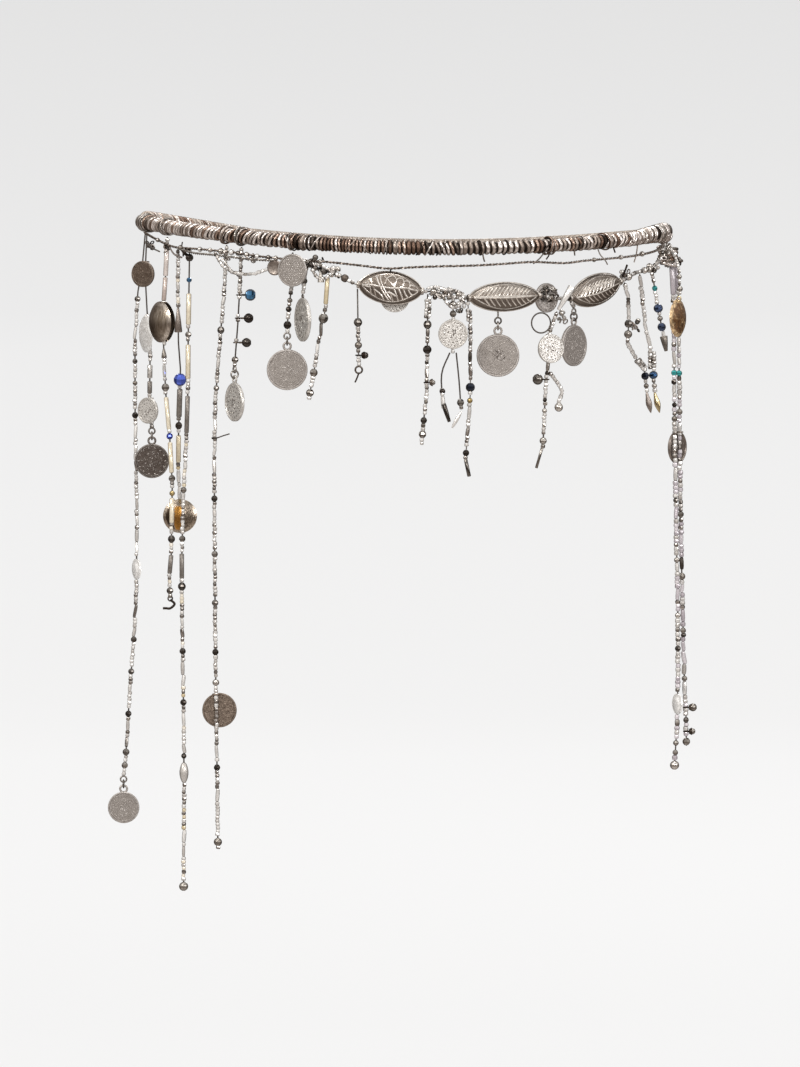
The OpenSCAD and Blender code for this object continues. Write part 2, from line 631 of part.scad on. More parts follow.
module left_beads_1() {
    beads_on(left_route_1, left_bead_table_1);
    color(tone("dark")) end_link(swing_left_end);
}

module left_beads_2() {
    beads_on(left_route_2, left_bead_table_2);
    color(tone("silver")) end_link(swing_left_dark);
}

hook_r = 1.4;
module left_beads_3() {
    beads_on(left_route_3, left_bead_table_3);
    // The hook at the end
    color(tone("dark")) translate([-75.7, -55, -118.7]) {
        face_front() rotate_extrude(angle = 180, start = -90) translate([hook_r, 0]) circle(d = 0.8);
        translate([-2.4, 0, -hook_r]) rotate([0, 90, 0]) cylinder(d = 0.8, h = 2.4);
    }
}

module left_beads_4() { beads_on(left_route_4, left_bead_table_4); }
module left_beads_5() { beads_on(left_route_5, left_bead_table_5); }

module left_beads_6() {
    beads_on(left_route_6, left_bead_table_6);
    // A bent twig of wire that is looped round the string
    color(tone("dark")) translate(point_at(left_route_6, -64)) {
        wire_ring(loop_r, loop_wire_d);
        translate([0.8, -0.3, 0]) rotate([0, 72, 0]) cylinder(d = 0.45, h = 4.2);
    }
}

module left_beads_7() {
    beads_on(left_route_7, left_bead_table_7);
    color(tone("silver")) end_link(swing_left_turned);
}

// Strings at the front, from left to right

module front_string_1() {
    string_of(front_route_1);
    string_of(front_route_1b, 0.7);
}
module front_string_2() { string_of(front_route_2); }
module front_string_3() { string_of(front_route_3); }
module front_string_4() { string_of(front_route_4); }
module front_string_5() {
    string_of(front_route_5);
    string_of(front_route_5_left, 0.6);
    string_of(front_route_5_right, 0.6);
}
module front_string_6() {
    string_of(front_route_6);
    string_of(front_route_7);
    string_of(front_route_7_side, 0.6);
    string_of(front_route_8, 0.7);
}

module front_beads_1() {
    beads_on(front_route_1, front_bead_table_1);
    color(tone("dark")) {
        end_link(swing_front_left);
        threaded(front_route_1b, -13.6) ball_bead(2.2, 1);
    }
}

module front_beads_2() { beads_on(front_route_2, front_bead_table_2); }

module front_beads_3() {
    beads_on(front_route_3, front_bead_table_3);
    color(tone("dark")) translate([-14.2, -100.8, -41.6]) {
        face_front() wire_ring(1.1, 0.6);
        translate([-0.2, 0, -1.1]) rotate([0, 200, 0]) cylinder(d1 = 0.8, d2 = 0.4, h = 3.4);
    }
}

module front_beads_4() { beads_on(front_route_4, front_bead_table_4); }

// The two bare wires below the small coin end in a folded leaf and a bead
module front_beads_5() {
    beads_on(front_route_5, front_bead_table_5);
    color(tone("dark")) {
        threaded(front_route_5_left, -48.4) ball_bead(1.9, 0.9);
        threaded(front_route_5_right, -52) ball_bead(2.4, 0.9);
        translate([12.6, -99.7, -52.4]) rotate([0, 162, 0]) cylinder(d1 = 1.6, d2 = 0.7, h = 6);
    }
    color(tone("silver")) hull() {
        translate([15.4, -99.7, -60]) face_front() cylinder(d = 1, h = 0.7, center = true);
        translate([18.3, -99.4, -54.9]) face_front() cylinder(d = 1.3, h = 0.7, center = true);
    }
}

module front_beads_6() {
    beads_on(front_route_6, front_bead_table_6);
    color(tone("dark")) translate([19.6, -98.3, -70]) rotate([0, 168, 0]) cylinder(d = 1.2, h = 5.6);
    beads_on(front_route_7, front_bead_table_7);
    color(tone("silver")) {
        // The tapered tube at the top of the string
        translate([49.2, -86.1, -22.9]) rotate([0, 31, 0]) cylinder(d1 = 1.1, d2 = 2.5, h = 8.6);
        end_link(swing_front_right);
        translate([49.5, -82.9, -54]) sphere(d = 2.8);
        translate([49.5, -82.9, -53.3]) cylinder(d1 = 2, d2 = 0.7, h = 1.6);
    }
    color(tone("dark")) translate([44.2, -86.1, -66.6]) rotate([0, 196, 0]) cylinder(d = 0.9, h = 7);
}

// Strings at the right

module leaf_drop() {
    hull() {
        translate([0, 0, 2.2]) sphere(d = 1.2, $fn = 16);
        translate([0, 0, -0.8]) sphere(d = 2.2, $fn = 16);
        translate([0, 0, -2.6]) sphere(d = 0.9, $fn = 16);
    }
}

module right_short_strings() {
    string_of(right_route_1);
    string_of(right_route_2);
    string_of(right_route_3);
}

module right_short_beads() {
    beads_on(right_route_1, right_bead_table_1);
    beads_on(right_route_2, right_bead_table_2);
    beads_on(right_route_3, right_bead_table_3);
    color(tone("brass")) {
        translate([79.5, -49.2, -53.2]) rotate([0, -12, 0]) leaf_drop();
        translate([82.4, -44.4, -53.3]) rotate([0, -14, 0]) leaf_drop();
    }
    color(tone("silver")) translate([84.9, -37.6, -32.2]) rotate([0, 170, 0])
        cylinder(d1 = 2.6, d2 = 0.9, h = 5);
}

module right_long_strings() {
    string_of(right_route_4);
    string_of(right_route_5);
    string_of(right_route_6);
}

module right_long_beads() {
    beads_on(right_route_4, right_bead_table_4);
    beads_on(right_route_5, right_bead_table_5);
    beads_on(right_route_6, right_bead_table_6);
}

// Coins and discs

module coin_left_top() {
    color(tone("brown")) strung_coin(left_route_2, -12, 8.6, -30);
}
module coin_left_small() {
    color(tone("silver")) strung_coin(left_route_2, -56.8, 8.6, -40);
}
module coin_left_dark() { swinging_coin(swing_left_dark, "dark"); }
module coin_left_end() { swinging_coin(swing_left_end); }
module coin_left_long() {
    color(tone("brown")) strung_coin(left_route_6, -151.6, 11.1, 0, false, 1);
}
module coin_left_turned() { swinging_coin(swing_left_turned); }
module coin_textured() {
    color(tone("silver")) translate(point_across(swag_route, -35.2)) {
        face_front(-26) translate([0.7, -3.3, 1.35]) coin(10.3, false);
        aim(direction_across(swag_route, -35.2)) wire_ring(bail_r, bail_wire_d);
    }
}
module coin_front_left() { swinging_coin(swing_front_left); }
module coin_front_turned() {
    color(tone("silver")) translate([-32, -94.6, -25.9]) face_front(-70) {
        coin(13.8);
        translate([0, 7.3, 0]) wire_ring(0.7, bail_wire_d);
    }
}
module coin_behind_left() {
    color(tone("silver")) translate([-2.8, -97.7, -18.8]) face_front() coin(9.4);
}
module coin_front_small() {
    color(tone("silver")) strung_coin(front_route_5, -30.3, 9.4);
}
module coin_front_middle() { swinging_coin(swing_front_middle); }
module coin_front_bright() {
    color(tone("silver")) strung_coin(front_route_7, -35.2, 9.2, 28);
}
module coin_front_right() { swinging_coin(swing_front_right); }
module coin_behind_right() {
    color(tone("silver")) translate(point_across(garland_route, 44.4)) {
        face_front(40) translate([3.1, -0.7, -2]) coin(9.4);
        aim(direction_across(garland_route, 44.4)) wire_ring(bail_r + 0.45, bail_wire_d);
    }
}
module coin_right_brown() {
    color(tone("brown")) strung_coin(right_route_5, -69.6, 10.8, 56, false, 0.6);
}

module disc_left_bright() {
    color(tone("silver")) {
        translate(point_at(left_route_2, -31.6)) face_front(-66)
            translate([0, 0, 1.05]) domed_disc(12.2, 1.4);
        bail(left_route_2, -25.9);
    }
}
module discs_left_domed() {
    // Two domed discs back to back with the string between them
    color([0.42, 0.38, 0.33]) {
        translate(point_at(left_route_3, -27.4)) face_front(-56) {
            translate([-0.9, 0, 0.7]) domed_disc(13.4, 2.6);
            translate([-0.9, 0, -0.7]) rotate([0, 180, 0]) domed_disc(13.4, 2.6);
        }
        bail(left_route_3, -21.1);
    }
}
module disc_left_brass() {
    color(tone("brass")) translate([-72.9, -46, -90.7]) face_front() {
        translate([0, 0, -2.2]) domed_disc(11.1, 1.6);
        translate([0, 5.5, -1.1]) rotate([0, 90, 0]) wire_ring(0.9, bail_wire_d);
    }
}
module disc_right_brass() {
    color(tone("brass")) translate([90.4, -17.6, -26.6]) face_front(62) {
        domed_disc(12.6, 2);
        translate([0, 6.4, 0.5]) rotate([0, 90, 0]) wire_ring(0.7, bail_wire_d);
    }
}

hoop();
tie_rings();
swag_string();
garland_string();
garland_beads();
leaf_bead_left();
leaf_bead_middle();
leaf_bead_right();
left_string_1();
left_string_2();
left_string_3();
left_string_4();
left_string_5();
left_string_6();
left_string_7();
left_loop_string();
left_beads_1();
left_beads_2();
left_beads_3();
left_beads_4();
left_beads_5();
left_beads_6();
left_beads_7();
front_string_1();
front_string_2();
front_string_3();
front_string_4();
front_string_5();
front_string_6();
front_beads_1();
front_beads_2();
front_beads_3();
front_beads_4();
front_beads_5();
front_beads_6();
right_short_strings();
right_short_beads();
right_long_strings();
right_long_beads();
coin_left_top();
coin_left_small();
coin_left_dark();
coin_left_end();
coin_left_long();
coin_left_turned();
coin_textured();
coin_front_left();
coin_front_turned();
coin_behind_left();
coin_front_small();
coin_front_middle();
coin_front_bright();
coin_front_right();
coin_behind_right();
coin_right_brown();
disc_left_bright();
discs_left_domed();
disc_left_brass();
disc_right_brass();
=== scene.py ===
import math
import random

import bpy
from mathutils import Matrix, Vector


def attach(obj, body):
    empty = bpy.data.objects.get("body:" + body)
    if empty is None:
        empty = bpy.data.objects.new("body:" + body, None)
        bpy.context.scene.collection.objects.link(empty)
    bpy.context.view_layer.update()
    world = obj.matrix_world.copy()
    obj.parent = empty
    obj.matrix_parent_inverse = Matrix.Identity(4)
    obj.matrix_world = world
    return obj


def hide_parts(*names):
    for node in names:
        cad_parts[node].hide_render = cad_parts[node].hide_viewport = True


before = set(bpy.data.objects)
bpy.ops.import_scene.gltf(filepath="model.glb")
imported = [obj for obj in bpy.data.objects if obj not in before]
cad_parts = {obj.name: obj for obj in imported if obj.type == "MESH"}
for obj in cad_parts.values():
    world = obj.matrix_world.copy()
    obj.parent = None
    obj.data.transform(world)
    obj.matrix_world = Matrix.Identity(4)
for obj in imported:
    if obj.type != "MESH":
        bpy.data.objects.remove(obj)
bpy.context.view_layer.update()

mm = 0.001  # sizes and places in the settings are millimetres, Blender's are metres
dice = random.Random(11)


# Small helpers

def startFresh():
    if bpy.context.mode != "OBJECT":
        bpy.ops.object.mode_set(mode="OBJECT")
    bpy.ops.object.select_all(action="DESELECT")


def pickOnly(piece):
    startFresh()
    piece.select_set(True)
    bpy.context.view_layer.objects.active = piece


def settle(piece):  # puts an object's place and size into its mesh
    pickOnly(piece)
    bpy.ops.object.transform_apply(location=True, rotation=True, scale=True)
    return piece


def spin(angle, axis="Z"):  # a turn in degrees
    return Matrix.Rotation(math.radians(angle), 4, axis)


def toss(low, high, axis):  # a turn by chance, between two angles in radians
    return Matrix.Rotation(dice.uniform(low, high), 4, axis)


def faceFront(turn=0):  # stands a thing that lies in XY upright, facing the viewer
    return spin(turn) @ spin(90, "X")


def aim(direction):  # turns the Z axis to a direction
    d = direction.normalized()
    return (Matrix.Rotation(math.atan2(d.y, d.x), 4, "Z")
            @ Matrix.Rotation(math.acos(max(-1, min(1, d.z))), 4, "Y"))


def at(spot):
    return Matrix.Translation(spot)


def move(x, y, z):
    return at(Vector((x, y, z)) * mm)


def grow(x, y=None, z=None):
    return Matrix.Diagonal((x, x if y is None else y, x if z is None else z, 1))


def inMetres(points):
    return [Vector(p) * mm for p in points]


def tint(piece, value):  # how clean and polished a copy is, from 0 to 1, for its material
    layer = piece.data.attributes.get("shade") or piece.data.attributes.new("shade", "FLOAT", "POINT")
    if callable(value):
        values = [value(v.co / mm) for v in piece.data.vertices]
    else:
        values = [value] * len(piece.data.vertices)
    layer.data.foreach_set("value", values)
    return piece


def dress(piece, finish):
    piece.data.materials.clear()
    piece.data.materials.append(finishes[finish])
    return piece


def copyOf(pattern, place, finish, shade=None):
    twin = pattern.copy()
    twin.data = pattern.data.copy()
    twin.data.transform(place)
    bpy.context.scene.collection.objects.link(twin)
    tint(twin, dice.random() if shade is None else shade)
    return dress(twin, finish)


def used(pattern, place, finish, shade=None):  # a copy that is the pattern's only one
    twin = copyOf(pattern, place, finish, shade)
    bpy.data.objects.remove(pattern)
    return twin


def joined(name, parts, body="root", instead=()):
    startFresh()
    for part in parts:
        part.select_set(True)
    bpy.context.view_layer.objects.active = parts[0]
    if len(parts) > 1:
        bpy.ops.object.join()
    piece = settle(bpy.context.object)
    piece.name = piece.data.name = name
    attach(piece, body)
    if instead:
        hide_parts(*instead)
    return piece


def drawOut(profile, base=0):  # draws the open circle out along Z, ring by ring
    z, r = profile[0]
    for nextZ, nextR in profile[1:]:
        bpy.ops.mesh.extrude_region_move(TRANSFORM_OT_translate={"value": (0, 0, (nextZ - z) * mm)})
        bpy.ops.transform.resize(value=(nextR / r, nextR / r, 1), center_override=(0, 0, (base + nextZ) * mm))
        z, r = nextZ, nextR


def turned(profile, sides, smooth=40):  # a round solid. Columns of the profile: height, radius
    startFresh()
    z, r = profile[0]
    bpy.ops.mesh.primitive_circle_add(vertices=sides, radius=r * mm, fill_type="NGON",
                                      location=(0, 0, z * mm))
    bpy.ops.object.mode_set(mode="EDIT")
    drawOut(profile)
    bpy.ops.mesh.select_all(action="SELECT")
    bpy.ops.mesh.normals_make_consistent(inside=False)
    bpy.ops.object.mode_set(mode="OBJECT")
    bpy.ops.object.shade_smooth_by_angle(angle=math.radians(smooth))
    return settle(bpy.context.object)


def ring(r, wire, sides=20, wireSides=8):
    startFresh()
    bpy.ops.mesh.primitive_torus_add(major_radius=r * mm, minor_radius=wire / 2 * mm,
                                     major_segments=sides, minor_segments=wireSides)
    bpy.ops.object.shade_smooth()
    return bpy.context.object


def wireAlong(points, d, closed=False, resolution=1):  # a bare wire with rounded ends through points
    startFresh()
    curve = bpy.data.curves.new("wire", "CURVE")
    curve.dimensions = "3D"
    curve.bevel_depth = d / 2 * mm
    curve.bevel_resolution = resolution
    curve.use_fill_caps = True
    line = curve.splines.new("POLY")
    line.points.add(len(points) - 1)
    for i, p in enumerate(points):
        line.points[i].co = (*(Vector(p) * mm), 1)
    line.use_cyclic_u = closed
    piece = bpy.data.objects.new("wire", curve)
    bpy.context.scene.collection.objects.link(piece)
    pickOnly(piece)
    bpy.ops.object.convert(target="MESH")
    bpy.ops.object.shade_smooth_by_angle(angle=math.radians(50))
    return bpy.context.object


def wired(points, d, finish, shade, resolution=1):  # a wire with its look
    return dress(tint(wireAlong(points, d, resolution=resolution), shade), finish)


def rounded(points, steps=6):  # a smooth line through points
    p = [Vector(q) for q in points]
    p = [2 * p[0] - p[1]] + p + [2 * p[-1] - p[-2]]
    line = []
    for i in range(1, len(p) - 2):
        a, b, c, d = p[i - 1:i + 3]
        for k in range(steps):
            t = k / steps
            line.append(0.5 * (2 * b + (c - a) * t + (2 * a - 5 * b + 4 * c - d) * t * t
                               + (3 * b - a - 3 * c + d) * t * t * t))
    return line + [p[-2]]


def distances(route):
    far = [0]
    for a, b in zip(route, route[1:]):
        far.append(far[-1] + (b - a).length)
    return far


def alongRoute(route, far, s):  # the point and direction at a distance along a route
    i = 0
    while i < len(far) - 2 and far[i + 1] < s:
        i += 1
    a, b = route[i], route[i + 1]
    return a + (b - a) * ((s - far[i]) / (far[i + 1] - far[i])), (b - a).normalized()


def distanceAt(route, far, value, axis=2):  # how far along a route it passes a height, or a place across
    for i, (a, b) in enumerate(zip(route, route[1:])):
        if (a[axis] - value) * (b[axis] - value) <= 0:
            return far[i] + (far[i + 1] - far[i]) * (value - a[axis]) / (b[axis] - a[axis])


# Materials. Each reads Object coordinates in metres and the "shade" attribute of its copy

def linear(colour):
    parts = [int(colour[i:i + 2], 16) / 255 for i in (1, 3, 5)]
    return tuple(v / 12.92 if v <= 0.04045 else ((v + 0.055) / 1.055) ** 2.4 for v in parts) + (1,)


def addNode(tree, kind, inputs=None, **settings):
    made = tree.nodes.new(kind)
    for key, value in settings.items():
        setattr(made, key, value)
    for key, value in (inputs or {}).items():
        if isinstance(value, bpy.types.NodeSocket):
            tree.links.new(value, made.inputs[key])
        else:
            made.inputs[key].default_value = value
    return made


def finishOf(name, look):
    # Patches of tarnish, a tone for each copy and fine scratches or grain, over one shader, with painted edge
    # shade and a painted gilt reflection where a look asks for them
    made = bpy.data.materials.new(name)
    made.use_nodes = True
    tree = made.node_tree
    tree.nodes.clear()
    place = addNode(tree, "ShaderNodeTexCoord").outputs["Object"]
    if "brushed" in look:  # draws the patches and grain out up and down
        place = addNode(tree, "ShaderNodeMapping", {
            "Vector": place, "Scale": (1, 1, look["brushed"])}).outputs[0]
    shade = addNode(tree, "ShaderNodeAttribute", attribute_name="shade").outputs["Fac"]
    patches = addNode(tree, "ShaderNodeTexNoise", {
        "Vector": place, "Scale": 1 / (look["patch"] * mm), "Detail": 4, "Roughness": 0.65}).outputs["Fac"]
    grain = addNode(tree, "ShaderNodeTexNoise", {
        "Vector": place, "Scale": 1 / (look["grain"] * mm), "Detail": 2, "Roughness": 0.6}).outputs["Fac"]
    mixed = addNode(tree, "ShaderNodeMath", {0: patches, 1: shade}, operation="MULTIPLY")
    wear = addNode(tree, "ShaderNodeMapRange", {
        "Value": mixed.outputs[0], "From Min": look["from"], "From Max": look["to"]}).outputs[0]
    colour = addNode(tree, "ShaderNodeMix", {
        "Factor": wear, 6: linear(look["dark"]), 7: linear(look["light"])}, data_type="RGBA").outputs[2]
    speckled = addNode(tree, "ShaderNodeMapRange", {
        "Value": grain, "From Min": 0.35, "From Max": 0.6, "To Min": look["speckle"], "To Max": 0})
    layers = [("dirt", speckled.outputs[0])]
    if "edge" in look:  # painted shade: the colour darkens towards the outline as the surface turns from the camera, as thick glass looks
        layers.append(("edge", addNode(tree, "ShaderNodeLayerWeight", {"Blend": 0.45}).outputs["Facing"]))
    if "paintedReflection" in look:  # a shade above 1 asks for the painted reflection colour, a gilt band
        layers.append(("paintedReflection", addNode(tree, "ShaderNodeMapRange", {
            "Value": shade, "From Min": 1.1, "From Max": 1.7}).outputs[0]))
    for key, share in layers:
        colour = addNode(tree, "ShaderNodeMix", {
            "Factor": share, 6: colour, 7: linear(look[key])}, data_type="RGBA").outputs[2]
    rough = addNode(tree, "ShaderNodeMapRange", {
        "Value": wear, "To Min": look["dull"], "To Max": look["shiny"]}).outputs[0]
    bump = addNode(tree, "ShaderNodeBump", {
        "Height": grain, "Strength": look.get("bump", 0.3), "Distance": look["grain"] * 0.25 * mm}).outputs[0]
    shader = addNode(tree, "ShaderNodeBsdfPrincipled", {
        "Base Color": colour, "Roughness": rough, "Normal": bump, "Metallic": look.get("metallic", 1),
        "Coat Weight": look.get("coat", 0)})
    addNode(tree, "ShaderNodeOutputMaterial", {"Surface": shader.outputs[0]})
    return made


# Columns: colour where it is clean, where it is tarnished and of the dirt, share of dirt, sizes of a patch
# and of the grain, the wear below which all is tarnished and above which all is clean, roughness where it
# is tarnished and where it is clean, other settings
lookColumns = ("light", "dark", "dirt", "speckle", "patch", "grain", "from", "to", "dull", "shiny")
# An "edge" colour is painted shade: the bead's colour darkens towards its outline as its surface turns from
# the camera
looks = {
    # Silver-plated wire, drawn smooth: bright where it was rubbed, brown tarnish between
    "platedWire": ("#F4ECE6", "#A2958B", "#4A3F37", 0.45, 2.2, 0.25, 0.12, 0.4, 0.44, 0.27, {"bump": 0.12}),
    # The same wire under years of tarnish: warm brown, satin
    "brownWire": ("#BBA393", "#755F52", "#35271F", 0.5, 2, 0.3, 0.1, 0.45, 0.46, 0.26, {}),
    # Fine annealed wire at the back, wound close: pale taupe and dull
    "taupeWire": ("#C9BEB3", "#A09489", "#5E544C", 0.25, 5, 0.3, 0.1, 0.5, 0.6, 0.45, {"metallic": 0.75}),
    # Blackened iron binding wire: nearly black, with a low shine
    "ironWire": ("#7A6F66", "#332B26", "#120F0D", 0.5, 1.6, 0.2, 0.1, 0.5, 0.5, 0.3, {}),
    # Grey wire of the threads and links, with a low shine
    "greyWire": ("#B9B3AD", "#6A645E", "#24201D", 0.4, 1.5, 0.2, 0.1, 0.45, 0.45, 0.3, {}),
    # Silver-lined glass seed beads: pale, glossy, each a little different
    "silverSeed": ("#F8F5F1", "#C6C0BA", "#8A847E", 0.3, 1.2, 0.4, 0.02, 0.4, 0.3, 0.16,
                   {"bump": 0.1, "edge": "#5A544E", "metallic": 0.5}),
    # Smoke-grey glass seed beads with a metal lining, between them
    "greySeed": ("#CFC9C3", "#96908A", "#3E3936", 0.3, 1.2, 0.4, 0.02, 0.4, 0.35, 0.2,
                 {"bump": 0.1, "edge": "#3E3935"}),
    # Brass: small balls, rings and a drop, warm and half polished
    "brass": ("#EBDDB8", "#B09A66", "#5E4C2E", 0.3, 2.5, 0.3, 0.05, 0.45, 0.3, 0.16, {}),
    # Straw-coloured glass tubes: clear skins over a pale yellow lining, with painted shade darkening them
    # towards their edges
    "strawGlass": ("#EADFC9", "#CDBB97", "#9A855E", 0.3, 1.8, 0.5, 0.05, 0.45, 0.24, 0.12,
                   {"metallic": 0.2, "edge": "#6B583C", "coat": 0.4}),
    # Taupe glass tubes with a pink cast
    "taupeGlass": ("#E4D9D2", "#BFAEA4", "#8A786C", 0.25, 1.8, 0.5, 0.05, 0.45, 0.26, 0.14,
                   {"metallic": 0.25, "edge": "#5E4F46", "coat": 0.4}),
    # Foil-lined glass tubes, the foil worn through in spots
    "mottledTube": ("#F2EEE8", "#8C857E", "#4A443F", 0.6, 0.9, 0.5, 0.2, 0.42, 0.34, 0.16,
                    {"bump": 0.5, "metallic": 0.6, "edge": "#5E5853"}),
    # Clear glass with a mauve cast: tubes and seed beads
    "clearTube": ("#E2DBDD", "#B5ACB0", "#7E757A", 0.2, 1.6, 0.5, 0.1, 0.4, 0.24, 0.12,
                  {"bump": 0.1, "metallic": 0.2, "edge": "#5E555B", "coat": 0.5}),
    # Amber shell: mottled tan and brown, polished
    "amberShell": ("#E2C093", "#74502E", "#3A2412", 0.75, 1.7, 1.1, 0.25, 0.34, 0.3, 0.14,
                   {"bump": 0.5, "metallic": 0.5, "coat": 0.4}),
    # Cream glass seed beads
    "cream": ("#F4EEE4", "#D8CDBA", "#A89A84", 0.2, 3, 0.3, 0.05, 0.45, 0.3, 0.2,
              {"metallic": 0, "coat": 0.6, "edge": "#7E6F60"}),
    # Gunmetal cut beads: dark grey, mirror facets
    "gunmetal": ("#9A948D", "#403B37", "#141211", 0.25, 2, 0.4, 0.05, 0.45, 0.22, 0.09, {"bump": 0.06}),
    # Cast silver beads and heavy rings, satin
    "castSilver": ("#DAD5CE", "#857E76", "#3B3530", 0.35, 1.6, 0.25, 0.05, 0.4, 0.38, 0.2, {}),
    # Brown metal: a cone, a coin, a leaf drop and flat beads, dull
    "brownMetal": ("#B5AAA2", "#746A62", "#3A322B", 0.5, 1.8, 0.3, 0.08, 0.45, 0.55, 0.38, {}),
    # Struck silver coins, grey with wear: matt field, brighter relief
    "coinSilver": ("#D6D0CB", "#9A938D", "#4A423C", 0.4, 1.5, 0.28, 0.1, 0.6, 0.55, 0.4,
                   {"bump": 0.8, "metallic": 0.8}),
    # Bright coins: the field rubbed nearly white
    "coinBright": ("#E6E2DC", "#B4AEA7", "#4E4741", 0.5, 1.4, 0.28, 0.05, 0.42, 0.5, 0.3,
                   {"bump": 0.7, "metallic": 0.65}),
    # Dark coins: oxidised silver with pale high points
    "coinDark": ("#CFC8C2", "#635A54", "#2A2421", 0.5, 1.5, 0.28, 0.14, 0.7, 0.5, 0.34, {"bump": 0.7}),
    # Brown bronze coins
    "coinBronze": ("#B8A89A", "#64564B", "#30271F", 0.6, 1.3, 0.3, 0.1, 0.55, 0.55, 0.38, {"bump": 0.9}),
    # Bright pressed discs, hammered
    "discBright": ("#FBF9F6", "#CFCAC4", "#6E665F", 0.35, 1.2, 0.6, 0.05, 0.4, 0.4, 0.2,
                   {"bump": 0.9, "metallic": 0.4}),
    # Bronze domes, brushed up and down
    "discBronze": ("#E6DCD0", "#877A6B", "#3E3328", 0.55, 0.9, 0.4, 0.22, 0.62, 0.36, 0.2,
                   {"bump": 0.5, "brushed": 0.09}),
    # Brass disc: brown tarnish, with a painted gilt reflection in a band up the middle
    "discBrass": ("#B9AB9A", "#4A3D32", "#2A2017", 0.6, 1.1, 0.45, 0.18, 0.42, 0.4, 0.22,
                  {"bump": 0.4, "paintedReflection": "#BE8A45"}),
    # Cast leaf beads: dark in the ground, pale on the veins and edge
    "leafMetal": ("#EFE8DF", "#7B7168", "#2E2722", 0.4, 1.6, 0.25, 0.12, 0.6, 0.42, 0.22, {"bump": 0.6}),
    # Cut glass, strongly coloured, polished
    "royalGlass": ("#5870DC", "#1A2888", "#0A0F3A", 0.1, 1.5, 0.5, 0.05, 0.4, 0.22, 0.12,
                   {"edge": "#10175A", "bump": 0.02, "metallic": 0.8, "coat": 0.5}),
    "blueGlass": ("#4098CC", "#103C62", "#0B2236", 0.1, 0.9, 0.5, 0.05, 0.4, 0.1, 0.06,
                  {"edge": "#0E2B47", "bump": 0.02, "metallic": 0.85, "coat": 1}),
    "nightGlass": ("#3A4A6A", "#101A2C", "#080C14", 0.1, 0.9, 0.5, 0.05, 0.4, 0.1, 0.06,
                   {"bump": 0.02, "metallic": 0.85, "coat": 0.6}),
    "tealGlass": ("#3FB0B0", "#0E4A50", "#062024", 0.1, 0.9, 0.5, 0.05, 0.4, 0.1, 0.06,
                  {"bump": 0.02, "metallic": 0.85, "coat": 0.6}),
}
finishes = {}
for name, (*row, more) in looks.items():
    finishes[name] = finishOf(name, {**dict(zip(lookColumns, row)), **more})
print("finishes:", len(finishes))

# Patterns that are copied. Their diameter is 1 mm

seedPattern = turned([(-0.42, 0.26), (-0.36, 0.43), (-0.14, 0.5), (0.14, 0.5), (0.36, 0.43), (0.42, 0.26)], 8)
ballHeights = [0.93 * (2 * k / 6 - 1) for k in range(7)]
ballPattern = turned([(-0.4, 0.13)] + [(0.5 * z, 0.5 * (1 - abs(z) ** 2) ** 0.5) for z in ballHeights]
                     + [(0.4, 0.13)], 12)
cutPattern = turned([(-0.42, 0.14), (-0.45, 0.26), (-0.2, 0.46), (0, 0.5), (0.2, 0.46), (0.45, 0.26),
                     (0.42, 0.14)], 8, 5)
glassPattern = turned([(-0.38, 0.15), (-0.44, 0.24), (-0.3, 0.41), (-0.12, 0.5), (0.12, 0.5), (0.3, 0.41),
                       (0.44, 0.24), (0.38, 0.15)], 8, 5)
dotPattern = turned([(-0.1, 0.5), (0.2, 0.46), (0.4, 0.3), (0.48, 0.1)], 8)


# Beads made to measure: d is their diameter

def tubeOf(d, length, sides=12):
    e = min(0.14 * d, 0.12 * length)
    h = length / 2
    return turned([(-h + 0.5 * e, 0.26 * d), (-h, 0.36 * d), (-h + e, 0.5 * d), (h - e, 0.5 * d),
                   (h, 0.36 * d), (h - 0.5 * e, 0.26 * d)], sides, 50)


def riceOf(d, length):
    return turned([(z * length, r * d) for z, r in (
        (-0.5, 0.14), (-0.48, 0.2), (-0.4, 0.31), (-0.25, 0.43), (-0.08, 0.5), (0.08, 0.5), (0.25, 0.43),
        (0.4, 0.31), (0.48, 0.2), (0.5, 0.14))], 14)


def coneOf(d, length, tip=0.5):
    h = length / 2
    return turned([(-h, tip / 2), (-h + 0.1, tip / 2 + 0.1), (0, (tip + d) / 4 + 0.12), (h - 0.2, d / 2),
                   (h, 0.44 * d), (h - 0.1, 0.3 * d)], 14, 50)


def lensOf(d, thickness):  # a pressed disc bead with a stepped middle
    t = thickness / 2
    return turned([(-t, 0.12 * d), (-t + 0.08, 0.28 * d), (-t + 0.3, 0.32 * d), (-0.3, 0.42 * d),
                   (-0.25, 0.49 * d), (0.25, 0.49 * d), (0.3, 0.42 * d), (t - 0.3, 0.32 * d),
                   (t - 0.08, 0.28 * d), (t, 0.12 * d)], 24)


beadFinish = {
    "ball": {"dark": "gunmetal", "silver": "castSilver", "brass": "brass", "night": "nightGlass",
             "teal": "tealGlass"},
    "glass": {"royal": "royalGlass", "blue": "blueGlass", "night": "nightGlass", "teal": "tealGlass"},
    "tube": {"silver": "mottledTube", "brass": "strawGlass", "brown": "taupeGlass", "clear": "clearTube"},
    "cone": {"silver": "castSilver", "dark": "brownMetal"},
    "rice": {"silver": "silverSeed"},
    "disc": {"silver": "discBright"},
    "side": {"silver": "gunmetal", "dark": "gunmetal", "blue": "blueGlass"},
    "bundle": {"silver": "silverSeed"},
}
beadMakers = {"tube": tubeOf, "cone": coneOf, "rice": riceOf, "disc": lensOf}
cutTones = ("dark", "night", "teal")
discTurn = -65
bundle = {"pitch": 1.05, "twist": 12, "apart": 0.29, "lag": 0.3, "seed": 0.52, "long": 1.25}
sideBead = {"r": 0.84, "wire": 0.5, "stalk": 0.62, "head": 1.12, "back": 0.3,
            "cup": [(-0.7, 0.36), (-0.6, 0.8), (0.2, 1.25), (0.42, 1.2), (0.42, 0.9)]}


